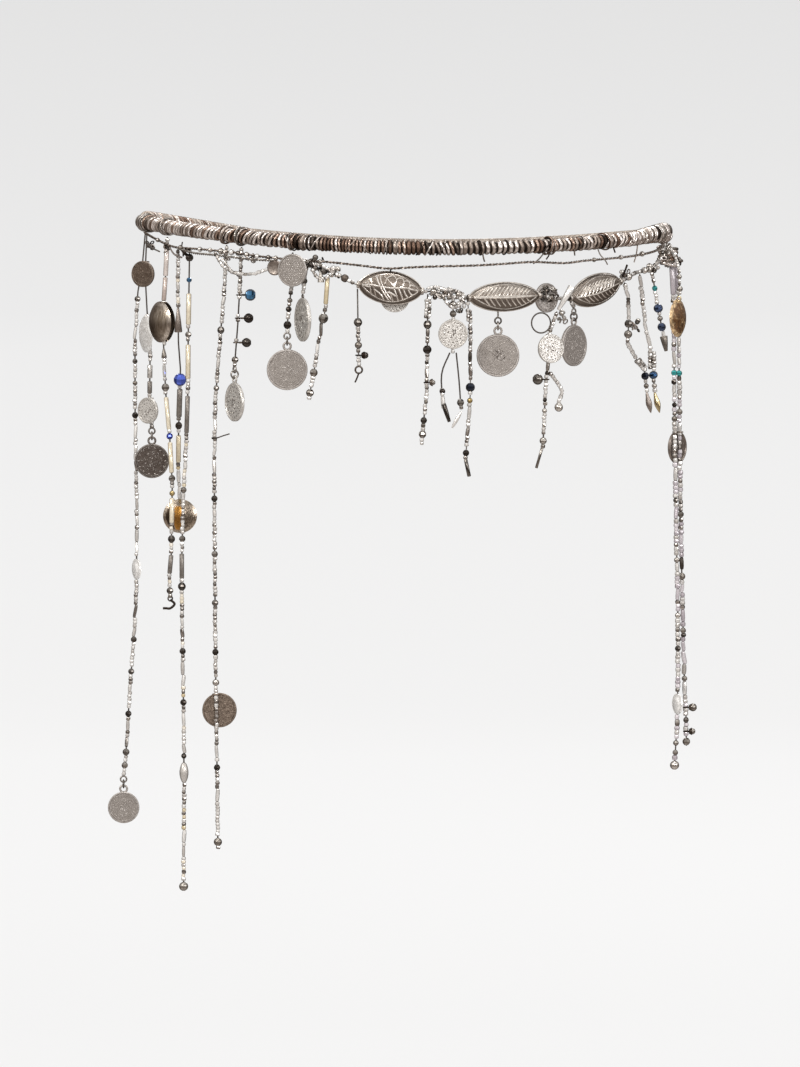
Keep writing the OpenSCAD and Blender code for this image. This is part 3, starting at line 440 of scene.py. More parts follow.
def beadParts(row, spot, direction):  # the beads of one row of a string's table
    kind, height, d, extra, tone = row
    finish = beadFinish[kind][tone]
    here = at(spot)
    along = here @ aim(direction) @ toss(0, 6.28, "Z")
    if kind in ("ball", "glass"):
        pattern = glassPattern if kind == "glass" else cutPattern if tone in cutTones else ballPattern
        return [copyOf(pattern, along @ grow(d), finish)]
    if kind in beadMakers:
        place = here @ faceFront(discTurn) if kind == "disc" else along
        return [used(beadMakers[kind](d, extra), place, finish)]
    if kind == "bundle":  # three short strands of seeds side by side
        made = []
        wide = bundle["seed"] * d
        for k in range(3 * int(extra / bundle["pitch"])):
            around = spin(120 * k + bundle["twist"] * k // 3)
            lift = move(0, 0, (k // 3 + 0.5) * bundle["pitch"] - extra / 2 + bundle["lag"] * (k % 3))
            made.append(copyOf(seedPattern, along @ around @ move(bundle["apart"] * d, 0, 0) @ lift @ grow(
                wide * dice.uniform(0.9, 1.1), wide, bundle["long"]), oneOf("pale")))
        return made
    # a bead at the side: a ring round the string, a stalk, a cup and the bead in it
    outward = here @ spin(90 if extra > 0 else -90, "Y")
    reach = abs(extra) - sideBead["r"]
    stalk = outward @ move(0, 0, sideBead["r"] + reach / 2)
    cup = outward @ move(0, 0, abs(extra) - sideBead["back"] * d)
    head = outward @ move(0, 0, abs(extra)) @ grow(sideBead["head"] * d)
    return [used(ring(sideBead["r"], sideBead["wire"], 14, 6), here, "ironWire"),
            used(tubeOf(sideBead["stalk"], reach, 8), stalk, "ironWire"),
            used(turned(sideBead["cup"], 14), cup, "ironWire"),
            copyOf(glassPattern if tone == "blue" else ballPattern, head, finish)]


# Strings of seed beads. Each follows the part's own route

seedMixes = {  # share of each finish
    "pale": (("silverSeed", 0.66), ("greySeed", 0.28), ("castSilver", 0.04), ("gunmetal", 0.02)),
    "grey": (("silverSeed", 0.45), ("greySeed", 0.44), ("castSilver", 0.06), ("gunmetal", 0.05)),
    "mauve": (("clearTube", 0.46), ("silverSeed", 0.36), ("greySeed", 0.15), ("gunmetal", 0.03)),
    "warm": (("silverSeed", 0.48), ("cream", 0.16), ("strawGlass", 0.12), ("greySeed", 0.22),
             ("gunmetal", 0.02)),
}
threading = {"start": 0.4, "end": 0.3, "bugle": (2.2, 4.6), "pitch": (0.85, 1.15), "isLong": 1.5,
             "clear": 0.02, "lean": 0.22, "aside": 0.12, "width": (0.84, 1.08), "bugleWidth": 0.9,
             "overlap": 0.04, "patternLength": 0.84}


def oneOf(mix):
    roll, total = dice.random(), 0
    for name, share in seedMixes[mix]:
        total += share
        if roll < total:
            return name
    return seedMixes[mix][0][0]


def seedsAlong(route, taken, mix, d, pitch, bugles, thread=0.5):
    # Seeds threaded one after another, with a bugle bead here and there, except where a large bead is
    far = distances(route)
    parts = [wired([p / mm for p in route], thread, "greyWire", 0.3, 0)]
    aside = threading["aside"]
    s = threading["start"] * mm
    while s < far[-1] - threading["end"] * mm:
        length = (dice.uniform(*threading["bugle"]) if dice.random() < bugles
                  else pitch * dice.uniform(*threading["pitch"]))
        clash = [hi for lo, hi in taken if lo < s + length * mm and s < hi]
        if clash and length > threading["isLong"] * pitch:
            length = pitch
            clash = [hi for lo, hi in taken if lo < s + length * mm and s < hi]
        if clash:
            s = max(clash) + threading["clear"] * mm
            continue
        spot, direction = alongRoute(route, far, s + length / 2 * mm)
        turn = aim(direction) @ toss(0, 6.28, "Z")
        lean = toss(-threading["lean"], threading["lean"], "X")
        off = Vector((dice.uniform(-aside, aside), dice.uniform(-aside, aside), 0)) * mm
        slim = threading["bugleWidth"] if length > threading["isLong"] * pitch else 1
        wide = d * dice.uniform(*threading["width"]) * slim
        long = (length + threading["overlap"]) / threading["patternLength"]
        parts.append(copyOf(seedPattern, at(spot + off) @ turn @ lean @ grow(wide, wide, long), oneOf(mix)))
        s += length * mm
    return parts


def fullRow(row):  # a short row is a ball: height, diameter and its tone, dark where none is named
    if row[0] in beadFinish:
        return row
    height, d, *tone = row
    return ("ball", height, d, 0, *(tone or ["dark"]))


beadRoom = {"ball": 0.46, "glass": 0.42, "side": 0, "disc": 0.5}  # half of the thread taken, in diameters


def takenBy(rows, route, far, axis=2):  # from where to where the large beads fill the string
    spans = []
    for kind, height, d, extra, *tone in rows:
        half = beadRoom[kind] * d if kind in beadRoom else extra / 2
        middle = distanceAt(route, far, height * mm, axis)
        spans.append((middle - half * mm, middle + half * mm))
    return spans


# Columns of the beads: kind, height, diameter, length or reach, tone; of a ball: height, diameter, tone
strings = {
    "left1": {
        "bugles": 0.25, "open": [(1.4, -19.2)],
        "route": [(-85, -20, 1.6), (-86, -20, -9), (-87.5, -20, -18), (-88.5, -20, -34), (-88.5, -20, -62),
                  (-88, -20, -90), (-88.2, -20, -116), (-89.2, -20, -134), (-90.3, -20, -147),
                  (-91.2, -20, -161), (-91.9, -20, -172), (-92.6, -20, -177.6)],
        "beads": [(-20.3, 2), (-40.8, 1.7), (-48, 1.6, "silver"), (-58.6, 2.1),
                  ("disc", -109.4, 7, 1.8, "silver"), (-132.7, 2), (-143.3, 2), (-157.3, 2.1), (-170, 2.3),
                  (-174.4, 2.2)]},
    "left2": {
        "open": [(1.2, -7.8), (-16.2, -25.2)],
        "route": [(-84.2, -27, 1.4), (-84.8, -27, -12), (-84.2, -27, -24), (-83.2, -27, -36),
                  (-83.4, -27, -51), (-82.8, -27, -62)],
        "beads": [("tube", -44, 1.7, 4.4, "silver"), ("tube", -49.2, 1.6, 4, "silver")]},
    "left3": {
        "mix": "warm",
        "route": [(-76.7, -47, 0.2), (-77.3, -47, -12), (-78, -47.5, -22), (-78, -48, -34),
                  (-77.3, -49, -50), (-75.9, -51, -65), (-75, -54, -80), (-75.2, -55, -92),
                  (-75.3, -55, -102), (-76, -55, -110), (-75.7, -55, -116.6)],
        "beads": [("tube", -8, 1.6, 9, "brown"), ("tube", -16.7, 1.5, 7.6, "brown"),
                  ("cone", -37.6, 1.8, 3, "silver"), (-48.6, 2.6), ("tube", -57, 1.5, 10.5, "brass"),
                  ("glass", -64.4, 2.2, 0, "royal"), ("tube", -71.3, 1.5, 10, "brass"), (-78, 2.2),
                  (-82.8, 1.8, "brass"), ("tube", -88.4, 1.6, 8, "brass"), (-97.6, 2.5),
                  ("tube", -105.8, 1.5, 6, "silver"), (-114.4, 2.2)]},
    "left4": {
        "mix": "warm", "open": [(-30.8, -43.6)],
        "route": [(-73, -55.4, -3.6), (-73, -55.2, -20), (-72.9, -54.5, -34), (-72.3, -53.6, -42.6),
                  (-73.1, -49.6, -62.8), (-73.3, -47, -76), (-72.9, -46, -83.5)],
        "beads": [("cone", -26.6, 2.6, 8, "dark"), ("glass", -46, 4.2, 0, "royal"),
                  ("tube", -53.6, 1.8, 9.4, "silver"), (-61, 2.4), ("tube", -68.6, 1.6, 9, "brass")]},
    "left5": {
        "mix": "warm", "open": [(-8, -12.6), (-14.6, -17.8)],
        "route": [(-69, -61.5, -4), (-69.2, -61.5, -16), (-69.5, -61.5, -33), (-69.6, -61.5, -48),
                  (-70.2, -61.5, -66), (-71.2, -61.5, -84), (-71.7, -61.5, -104), (-71.7, -61.5, -122),
                  (-71.3, -61.5, -143), (-71.1, -61.5, -176), (-71.3, -61.5, -211.2)],
        "beads": [(-6.4, 2.6), ("glass", -13.6, 1.7, 0, "blue"), ("tube", -23, 1.6, 10, "brass"),
                  (-31.2, 2), ("tube", -40, 1.6, 11, "brass"), ("tube", -57, 1.5, 12, "silver"), (-81.4, 2),
                  (-97.2, 2.1), ("tube", -106, 1.5, 8, "silver"), (-112.6, 2.7), (-133.6, 2.1),
                  (-150.2, 2.1), (-167.6, 1.8), ("rice", -173, 2.9, 6.6, "silver"), (-210, 3, "silver")]},
    "left6": {
        "route": [(-56.6, -76.4, -2.3), (-57.3, -76.4, -15), (-58.8, -76.4, -33), (-60.3, -76.4, -52),
                  (-60.7, -76.4, -72), (-60.6, -76.4, -100), (-60.4, -76.4, -136), (-60.1, -76.4, -156),
                  (-59.7, -76.4, -195.6)],
        "beads": [(-29.5, 2.5), (-48.1, 1.9), (-83.5, 2.1), (-101.3, 2.1), (-117, 2.1), (-132.8, 2.1),
                  (-142.6, 2.2, "silver"), (-170, 2.1), (-194, 2.7, "silver")]},
    "left7": {
        "open": [(-19.7, -24.3), (-26.9, -32.1), (-34.5, -37.6)],
        "route": [(-51.7, -81, -2.9), (-52.2, -81, -14), (-53, -81, -28), (-54, -81, -40.7)],
        "beads": [("side", -18.2, 3.3, 3.5, "blue"), ("side", -25.6, 2.8, 3.4, "dark"),
                  ("side", -33.4, 2.7, 3.3, "silver"), (-38.9, 2.2)]},
    "front1": {
        "route": [(-35.2, -91.9, -4.6), (-35.5, -91.9, -15), (-36.7, -91.9, -24), (-37, -91.9, -29.6)],
        "beads": [(-19.8, 1.7, "silver"), (-22.6, 1.9), (-27.6, 2.6)]},
    "front1b": {
        "route": [(-31.3, -95.3, -9.4), (-31.8, -94.6, -17.3)]},
    "front2": {
        "route": [(-24, -98.4, -11.4), (-24.8, -98, -22.5), (-26.6, -97.3, -31), (-28.2, -97, -41),
                  (-30, -97, -50.6)],
        "beads": [("tube", -16.6, 1.5, 8.6, "brass"), (-25.4, 3.2), (-42.6, 2.6), (-49, 2.5)]},
    "front3": {
        "open": [(-16.2, -25)],
        "route": [(-14.6, -101.4, -16), (-14.4, -100.8, -30), (-14.2, -100.8, -40)],
        "beads": [(-26.6, 2.8), (-33.8, 2.3, "silver"), ("side", -37, 1.9, 2.1, "dark")]},
    "front4": {
        "route": [(7.6, -101.4, -17.7), (7.5, -100.8, -30), (7.3, -100.6, -48), (6.1, -100.6, -60),
                  (5.7, -100.6, -65)],
        "beads": [("bundle", -22, 2.2, 6.6, "silver"), (-27.3, 2.8), (-35.2, 2.8),
                  ("side", -45.6, 1.5, 1.9, "dark"), (-57.6, 2.1), (-62, 2.5)]},
    "front5": {
        "route": [(15.6, -100.4, -18.2), (15.6, -99.7, -36)],
        "beads": [(-20.9, 2.3, "silver"), (-23.9, 2.2)]},
    "front5Left": {
        "curved": True, "open": [(-36.4, -47.4)],
        "route": [(14.6, -99.7, -36.2), (12, -99.7, -43), (12.4, -99.7, -52)]},
    "front5Right": {
        "curved": True, "open": [(-36.4, -50.8)],
        "route": [(16.6, -99.7, -36.2), (17.5, -99.5, -45), (18.1, -99.3, -53.5)]},
    "front6": {
        "route": [(20.2, -99.6, -19.8), (21.1, -98.6, -30), (21.1, -98.3, -49), (20.4, -98.3, -60),
                  (19.6, -98.3, -69.6)],
        "beads": [("bundle", -24.6, 1.9, 5, "silver"), ("glass", -47.2, 3, 0, "night"),
                  (-51.4, 1.8, "brass"), (-68, 2.1)]},
    "front7": {
        "route": [(48.8, -86.1, -23.4), (46.5, -86.1, -29.8), (46, -86.1, -40), (45.3, -86.1, -46),
                  (44.4, -86.1, -66)],
        "beads": [("side", -45, 3.1, -2.7, "dark"), (-55, 1.6, "silver"), (-64.6, 2.3, "silver")]},
    "front7Side": {
        "route": [(46.4, -86.1, -42.6), (49.4, -84.6, -46.6), (50.7, -83.6, -49), (49.8, -83, -51.6)]},
    "front8": {
        "route": [(53.2, -80.6, -20.3), (54.4, -78.8, -21.9)]},
    "right1": {
        "seed": 1.5,
        "route": [(71.2, -61.4, -14.5), (72.6, -58.6, -20), (72.8, -56.4, -26.5), (72.5, -56.2, -34),
                  (75, -52.4, -38.6), (78.2, -49.4, -42.6), (79, -49.2, -50)],
        "beads": [(-27.8, 2.7), (-31.2, 2.7, "silver"), ("bundle", -40.8, 2.4, 4.2, "silver"),
                  ("glass", -44.9, 2.6, 0, "night"), (-48.1, 1.7, "silver")]},
    "right2": {
        "seed": 1.55,
        "route": [(76.6, -49.2, -11.9), (77.6, -46.4, -20), (78.8, -45.4, -30), (80.6, -44.6, -37),
                  (81.8, -44.4, -50)],
        "beads": [("bundle", -39.6, 2.8, 6.3, "silver"), ("glass", -44.7, 2.8, 0, "blue"),
                  (-48.2, 1.7, "silver")]},
    "right3": {
        "route": [(81, -37.6, -11), (83.3, -37.6, -24), (84.8, -37.6, -32)],
        "beads": [(-16.6, 1.9, "teal"), ("glass", -23.1, 3, 0, "night"), (-26.4, 1.8, "silver"),
                  (-29.2, 2.8, "night")]},
    "right4": {
        "mix": "mauve", "seed": 1.7,
        "route": [(86.8, -14.2, -2), (88.6, -13.6, -8), (89.2, -13, -18), (89.4, -13, -34),
                  (89.7, -13, -62), (90.2, -13, -92), (90.9, -13, -122), (91, -13, -146), (90.8, -13, -160),
                  (89.9, -13, -176)],
        "beads": [("tube", -14.2, 1.9, 9.6, "clear"), ("glass", -44.8, 2, 0, "teal"), (-55.4, 1.7),
                  (-60, 2, "silver"), (-87, 1.7), (-106.8, 1.9, "silver"), (-125.2, 1.9, "silver"),
                  (-136.2, 2), ("disc", -154.6, 7, 1.7, "silver"), (-167.6, 1.9, "silver"), (-170.8, 1.9),
                  (-175, 3.1, "silver")]},
    "right5": {
        "mix": "mauve", "seed": 1.7,
        "route": [(88, -9.4, -1.9), (90, -9.6, -8), (91, -10, -18), (91.3, -10, -45), (91.6, -10, -75),
                  (92.3, -10, -110), (93.1, -10, -142), (93.8, -10, -157), (94, -10, -168.8)],
        "beads": [("tube", -13.6, 1.8, 8, "clear"), ("tube", -22.4, 1.6, 6, "clear"),
                  ("glass", -45, 2, 0, "teal"), (-57.8, 2.1, "silver"), (-91.8, 2.1),
                  (-112.4, 2.4, "silver"), (-130.4, 2), (-146.4, 1.9, "silver"),
                  ("side", -156, 2.4, 2.4, "silver"), (-160.2, 2), ("side", -164, 1.8, 2.1, "silver"),
                  (-167.4, 2.6)]},
    "right6": {
        "seed": 1.1,
        "route": [(87.3, -17.9, -2.2), (90.6, -17.8, -9), (91.2, -17.8, -18.9)],
        "beads": [(-13, 1.8, "silver"), (-17, 2, "silver")]},
}


def buildString(name):
    setting = strings[name]
    smooth = rounded(setting["route"], 4) if "curved" in setting else map(Vector, setting["route"])
    route = [p * mm for p in smooth]
    far = distances(route)
    rows = [fullRow(row) for row in setting.get("beads", [])]
    beads = []
    for row in rows:
        spot, direction = alongRoute(route, far, distanceAt(route, far, row[1] * mm))
        beads += beadParts(row, spot, direction)
    taken = takenBy(rows, route, far)
    for top, bottom in setting.get("open", ()):  # stretches of bare thread
        taken.append((distanceAt(route, far, top * mm), distanceAt(route, far, bottom * mm)))
    seed = setting.get("seed", 1.4)
    mix, bugles = setting.get("mix", "pale"), setting.get("bugles", 0.12)
    return seedsAlong(route, taken, mix, seed, seed * 0.82, bugles), beads


# Hoop: a dark core, wire turns of many widths and leans in front, fine close turns behind

hoop = {"halfWidth": 86.5, "halfDepth": 101, "saddle": 3, "lean": 0.024, "thick": 4.6, "coreD": 3.5,
        "frontEnd": 101, "backWire": 0.56, "backPitch": 0.6, "backLean": 6, "backWide": 1.15}
# Columns: to which place across, step, wire, lean in degrees and its spread, width, shares of bright
# and of brown wire
windings = [
    (-59, 1.6, 1.1, -32, 9, 0.95, 0.86, 0.12), (-46, 1.55, 1.05, -26, 12, 0.95, 0.76, 0.2),
    (-32, 1.5, 1.05, -12, 14, 0.95, 0.6, 0.34), (-26, 1.4, 1, 2, 7, 1.1, 0.6, 0.3),
    (-5, 1.12, 0.8, 3, 6, 1.1, 0.22, 0.74), (5, 1.5, 0.85, 4, 5, 1.55, 0.15, 0.84),
    (18, 1.42, 1, 17, 16, 1, 0.62, 0.3), (37, 1.95, 1.28, 2, 7, 1.15, 0.84, 0.15),
    (60, 1.8, 1.15, 6, 12, 1.05, 0.8, 0.18), (80, 1.65, 1.1, -18, 20, 1, 0.7, 0.26),
    (90, 1.55, 1.2, 12, 12, 1.05, 0.8, 0.18),
]
# Single turns over the others. Columns: place across, lean, wire, finish, extra reach
crossings = [
    (-85.6, -14, 0.9, "platedWire", 0.45), (-84.4, -10, 0.8, "greyWire", 0.5),
    (-86.2, 0, 0.8, "castSilver", 0.35), (-62, -38, 0.5, "platedWire", 0.1),
    (-47, -34, 0.42, "platedWire", 0.12), (-41.5, -36, 0.42, "platedWire", 0.12),
    (-36, 30, 0.42, "platedWire", 0.12), (-33.4, 3, 0.9, "ironWire", 0.4),
    (-31.6, -4, 1.5, "platedWire", 0.4), (-29.8, 2, 0.9, "ironWire", 0.3),
    (-27.6, -32, 0.42, "platedWire", 0.1), (-16.5, -40, 0.4, "platedWire", 0.14),
    (-12.4, 42, 0.4, "platedWire", 0.14), (-5.6, -16, 0.42, "platedWire", 0.16),
    (-4.6, -18, 0.42, "ironWire", 0.18), (-2, -6, 0.46, "platedWire", 0.16),
    (0.2, 3, 0.46, "platedWire", 0.14), (5.5, -34, 0.42, "ironWire", 0.14),
    (8, -30, 0.46, "platedWire", 0.16), (12, -36, 0.42, "ironWire", 0.14), (24, 6, 0.46, "ironWire", 0.2),
    (32, -8, 0.46, "ironWire", 0.2), (44.6, -42, 0.5, "ironWire", 0.2), (47, 16, 0.5, "platedWire", 0.16),
    (55.5, -34, 0.46, "ironWire", 0.14), (65, 44, 0.42, "platedWire", 0.14),
    (69, -40, 0.46, "platedWire", 0.16), (72, 40, 0.46, "platedWire", 0.16),
    (84.6, 14, 0.8, "platedWire", 0.3), (86, 6, 0.9, "castSilver", 0.4),
]
# Thick silver wire over both ends. Columns: angles, reach
overEnds = [(-104, -72, 0.45), (72, 104, 0.6)]
overEnd = {"turns": 11, "wire": (1, 1.25), "reach": 0.2, "lean": 30,
           "finishes": ("platedWire", "castSilver", "platedWire")}
# More wire wound over the shoulders, where the hoop turns back. Columns: angles, rise, bend, finishes
shoulders = [(-142, -97, 1.5, 0.5, ("taupeWire", "platedWire", "brownWire")),
             (60, 107, 1.7, 1, ("platedWire", "castSilver", "platedWire", "ironWire"))]
shoulder = {"wire": (0.85, 1.15), "lean": 14, "step": (0.85, 1.15), "swell": 0.6, "wider": 0.35,
            "higher": 0.65}
endRings = {"angles": (86, 89, 92.5), "wire": 1.3}


def hoopPoint(angle):
    a = math.radians(angle)
    return Vector((hoop["halfWidth"] * math.sin(a), -hoop["halfDepth"] * math.cos(a),
                   -hoop["saddle"] * math.cos(2 * a) - hoop["lean"] * hoop["halfWidth"] * math.sin(a)))


def outwardsAt(p):  # from the hoop's middle line, level
    return Vector((p.x / hoop["halfWidth"] ** 2, p.y / hoop["halfDepth"] ** 2, 0)).normalized()


def angleAcross(x):
    return math.degrees(math.asin(max(-1, min(1, x / hoop["halfWidth"]))))


def angleStep(angle, length):  # how many degrees a length along the hoop is
    return length / (hoopPoint(angle + 0.5) - hoopPoint(angle - 0.5)).length


def turnAt(angle, lean, stretch=1, wide=1):  # the place of one turn of wire
    along = (hoopPoint(angle + 1) - hoopPoint(angle - 1)).normalized()
    level = outwardsAt(hoopPoint(angle))
    out = (level - along * level.dot(along)).normalized()
    z = Matrix.Rotation(math.radians(lean), 3, out) @ along
    y = z.cross(out)
    place = Matrix((out, y, z)).transposed().to_4x4()
    return at(hoopPoint(angle) * mm) @ place @ grow(stretch, stretch / math.cos(math.radians(lean)), wide)


def windingRing(wire, reach=0, sides=22, wireSides=8):  # one turn of wire round the hoop
    return ring(hoop["thick"] / 2 - wire / 2 + reach, wire, sides, wireSides)


core = wireAlong([hoopPoint(3 * i) for i in range(120)], hoop["coreD"], closed=True, resolution=4)
hoopParts = [dress(tint(core, 0.1), "ironWire")]
turnPatterns = {}
angle = -hoop["frontEnd"]
while angle < hoop["frontEnd"]:
    across = hoopPoint(angle).x if abs(angle) <= 90 else math.copysign(hoop["halfWidth"], angle)
    to, step, wire, lean, spread, wide, bright, brown = next(w for w in windings if across <= w[0])
    if (wire, wide) not in turnPatterns:
        turnPatterns[wire, wide] = windingRing(wire)
    roll = dice.random()
    finish = "platedWire" if roll < bright else "brownWire" if roll < bright + brown else "ironWire"
    place = turnAt(angle, lean + dice.uniform(-spread, spread), dice.uniform(0.94, 1.06),
                   wide * dice.uniform(0.85, 1.1))
    hoopParts.append(copyOf(turnPatterns[wire, wide], place, finish))
    angle += angleStep(angle, step * dice.uniform(0.85, 1.15))
for across, lean, wire, finish, reach in crossings:
    hoopParts.append(used(windingRing(wire, reach), turnAt(angleAcross(across), lean), finish))
for first, last, reach in overEnds:
    for k in range(overEnd["turns"]):
        wire = dice.uniform(*overEnd["wire"])
        pattern = windingRing(wire, dice.uniform(overEnd["reach"], reach), 24)
        place = turnAt(dice.uniform(first, last), dice.uniform(-overEnd["lean"], overEnd["lean"]))
        hoopParts.append(used(pattern, place, dice.choice(overEnd["finishes"])))
for first, last, rise, bend, names in shoulders:
    angle = first
    while angle < last:
        swell = math.sin(math.pi * bend * (angle - first) / (last - first)) ** shoulder["swell"]
        wire = dice.uniform(*shoulder["wire"])
        place = (move(0, 0, shoulder["higher"] * rise * swell)
                 @ turnAt(angle, dice.uniform(-shoulder["lean"], shoulder["lean"])))
        hoopParts.append(used(windingRing(wire, shoulder["wider"] * rise * swell), place, dice.choice(names)))
        angle += dice.uniform(*shoulder["step"])
for k, angle in enumerate(endRings["angles"]):  # smooth thick rings close the right end
    pattern = ring(hoop["thick"] / 2, endRings["wire"], 24, 10)
    hoopParts.append(used(pattern, turnAt(angle, 3 * k - 4), "castSilver"))
for pattern in turnPatterns.values():
    bpy.data.objects.remove(pattern)
joined("hoopFrontWinding", hoopParts, instead=["hoop"])

backTurn = windingRing(hoop["backWire"], 0, 16, 5)
backParts = []
angle = hoop["frontEnd"]
while angle < 360 - hoop["frontEnd"]:
    lean = hoop["backLean"] + dice.uniform(-2, 2)
    place = turnAt(angle, lean, dice.uniform(0.985, 1.015), hoop["backWide"])
    backParts.append(copyOf(backTurn, place, "taupeWire"))
    angle += angleStep(angle, hoop["backPitch"])
bpy.data.objects.remove(backTurn)
joined("hoopBackWinding", backParts)
print("hoop:", len(hoopParts), "turns in front,", len(backParts), "behind")


# Binding wire where strings are tied on, with loose ends

tie = {"wire": 0.5, "r": 2.62, "turns": 3, "apart": 0.3, "lean": 22,
       "finishes": ("brownWire", "greyWire", "platedWire"),
       "across": (-84.9, -83.2, -76.6, -56.6, -51.7, -35.2, 46, 64.5, 85.2, 86.2)}
# Columns: points, thickness, finish
looseEnds = [
    ([(24.9, -98.5, -4.6), (25.3, -98.9, -6.6), (25.6, -98.9, -7.5)], 0.5, "ironWire"),
    ([(45.2, -87.5, -3.6), (43.5, -88.4, -6.2), (41.2, -89.4, -8.2)], 0.42, "greyWire"),
    ([(46.4, -87.5, -3.8), (46.2, -88.2, -5.4), (45.3, -88.6, -6.8)], 0.5, "ironWire"),
    ([(54.4, -80.6, -3.6), (54.6, -81.2, -5.6)], 0.5, "ironWire"),
    ([(62.2, -72, -3.4), (63, -72.6, -5.4), (64.6, -71.8, -7.2), (65.4, -71.2, -8.6)], 0.42, "greyWire"),
    ([(67.4, -66, -3), (68, -66.4, -4.8)], 0.5, "ironWire"),
    ([(75.8, -52, -2.2), (75.4, -52.8, -5.2), (74.6, -53.4, -8)], 0.46, "platedWire"),
    ([(-84.6, -24, -1.4), (-82.6, -34, -3.2), (-79.4, -42.6, -4.6)], 0.5, "greyWire"),
    ([(-76.6, -48.4, -1.8), (-74.4, -54.4, -5.2), (-71.6, -59.4, -6.4)], 0.6, "platedWire"),
    ([(-71.4, -59, -1.4), (-71.6, -59.8, -4.2), (-69.4, -62.6, -6.4)], 0.46, "ironWire"),
    ([(-58, -76.6, -6.6), (-56, -78.6, -9.2), (-52.4, -82.4, -12.6)], 0.46, "greyWire"),
    ([(72.2, -57.6, -8.8), (71.4, -58.6, -11), (70.8, -59.4, -12.6)], 0.7, "ironWire"),
]
knot = {"spread": 0.4, "beadSpread": 0.5, "r": (0.55, 0.95), "wire": (0.45, 0.65), "squash": (0.6, 1),
        "bead": (1.2, 2), "wires": ("ironWire", "greyWire", "castSilver", "platedWire"),
        "beads": ("castSilver", "silverSeed", "mottledTube", "gunmetal")}
# Columns: middle, size of the tangle, loops, beads
tieKnots = [
    ((-83.4, -26, -2.4), (2.6, 3, 2.2), 6, 1), ((-77, -47.4, -3.6), (2.6, 2.6, 2), 5, 1),
    ((-70.4, -60.8, -4.4), (2.4, 2.4, 2.4), 5, 1), ((-56.8, -77.6, -5.6), (2, 2, 3), 5, 0),
    ((-48.6, -84.6, -6.4), (3, 2.4, 2), 5, 1), ((86.4, -19, -4.4), (6, 5, 5), 18, 5),
    ((89, -14, -7.6), (6.4, 5, 5), 16, 6), ((84.8, -24, -6.4), (5, 4, 4), 9, 3),
    ((74.6, -55.6, -28.4), (3.6, 2.4, 4), 5, 4),
]
endWrap = {"turns": 7, "r": (2, 2.6), "wire": (0.9, 1.2), "middle": (87.4, -15, -4.2), "pitch": 0.75,
           "wide": 1.15}


def knotAt(centre, size, count, beads):  # short ends of wire wrapped close, with a few small beads in them
    made = []
    for k in range(count):
        offset = Vector([dice.uniform(-knot["spread"], knot["spread"]) * s for s in size])
        turn = toss(0, 3.1, "X") @ toss(0, 3.1, "Y")
        pattern = ring(dice.uniform(*knot["r"]), dice.uniform(*knot["wire"]), 14, 6)
        place = at((Vector(centre) + offset) * mm) @ turn @ grow(1, dice.uniform(*knot["squash"]), 1)
        made.append(used(pattern, place, dice.choice(knot["wires"])))
    for k in range(beads):
        offset = Vector([dice.uniform(-knot["beadSpread"], knot["beadSpread"]) * s for s in size])
        turn = toss(0, 3.1, "X")
        pattern = dice.choice((ballPattern, cutPattern))
        place = at((Vector(centre) + offset) * mm) @ turn @ grow(dice.uniform(*knot["bead"]))
        made.append(copyOf(pattern, place, dice.choice(knot["beads"])))
    return made


tieParts = []
for across in tie["across"]:
    for k in range(tie["turns"]):
        pattern = ring(tie["r"] + dice.uniform(-0.1, 0.25), tie["wire"], 22, 8)
        place = turnAt(angleAcross(across) + (k - 1) * tie["apart"], dice.uniform(-tie["lean"], tie["lean"]))
        tieParts.append(used(pattern, place, dice.choice(tie["finishes"])))
for points, wire, finish in looseEnds:
    tieParts.append(wired(rounded(points, 4), wire, finish, dice.random()))
for centre, size, count, beads in tieKnots:
    tieParts += knotAt(centre, size, count, beads)
for k in range(endWrap["turns"]):  # heavy wire wrapped round the strings under the right end
    x, y, z = endWrap["middle"]
    wrap = ring(dice.uniform(*endWrap["r"]), dice.uniform(*endWrap["wire"]), 24, 8)
    place = move(x, y, z - endWrap["pitch"] * k) @ toss(-0.3, 0.3, "X") @ toss(-0.3, 0.3, "Y")
    tieParts.append(used(wrap, place @ grow(endWrap["wide"], 1, 1), dice.choice(tie["finishes"])))
joined("tieWires", tieParts, instead=["tie_rings"])
print("tie wires:", len(tieParts))


# Swag: two thin wires twisted together

swag = {"offset": 1.6, "secondOffset": 1.9, "strand": 0.44, "apart": 0.21, "pitch": 2.2, "loopStrand": 0.32,
        "loopApart": 0.18, "linkWire": 0.55,
        "link": [(-4, -102.4, -9.6), (-4.3, -102, -10.9), (-3.9, -101.7, -11.4)]}
# Columns: place across, diameter, finish
swagBeads = [
    (-80, 1.5, "greySeed"), (-72, 1.7, "castSilver"), (-65.4, 1.7, "silverSeed"), (-62, 1.6, "castSilver"),
    (-58.4, 2.1, "castSilver"), (-55, 2, "silverSeed"), (-52.8, 1.7, "gunmetal"), (-50, 1.8, "castSilver"),
    (-46.6, 1.6, "silverSeed"), (-43, 1.6, "gunmetal"), (-40.6, 1.6, "castSilver"),
    (-29.4, 1.6, "gunmetal"), (-26.4, 1.5, "castSilver"), (61, 1.5, "castSilver"), (70, 1.6, "silverSeed"),
    (77.4, 1.8, "castSilver"),
]
# Columns: place across, height
swagPoints = [
    (-83.4, 1.6), (-79, -0.6), (-73, -3), (-67, -3.5), (-60.5, -4), (-53, -4.7), (-45.7, -5.8),
    (-34.5, -6.9), (-23.3, -7.6), (-12.2, -8.8), (-5, -9.6), (3, -9.2), (11.5, -8.9), (21, -8.7),
    (30.5, -8.2), (40, -7.6), (50, -8), (56.5, -7.3), (63, -6.8), (72, -6), (80, -4.6), (83.6, -2.6),
]
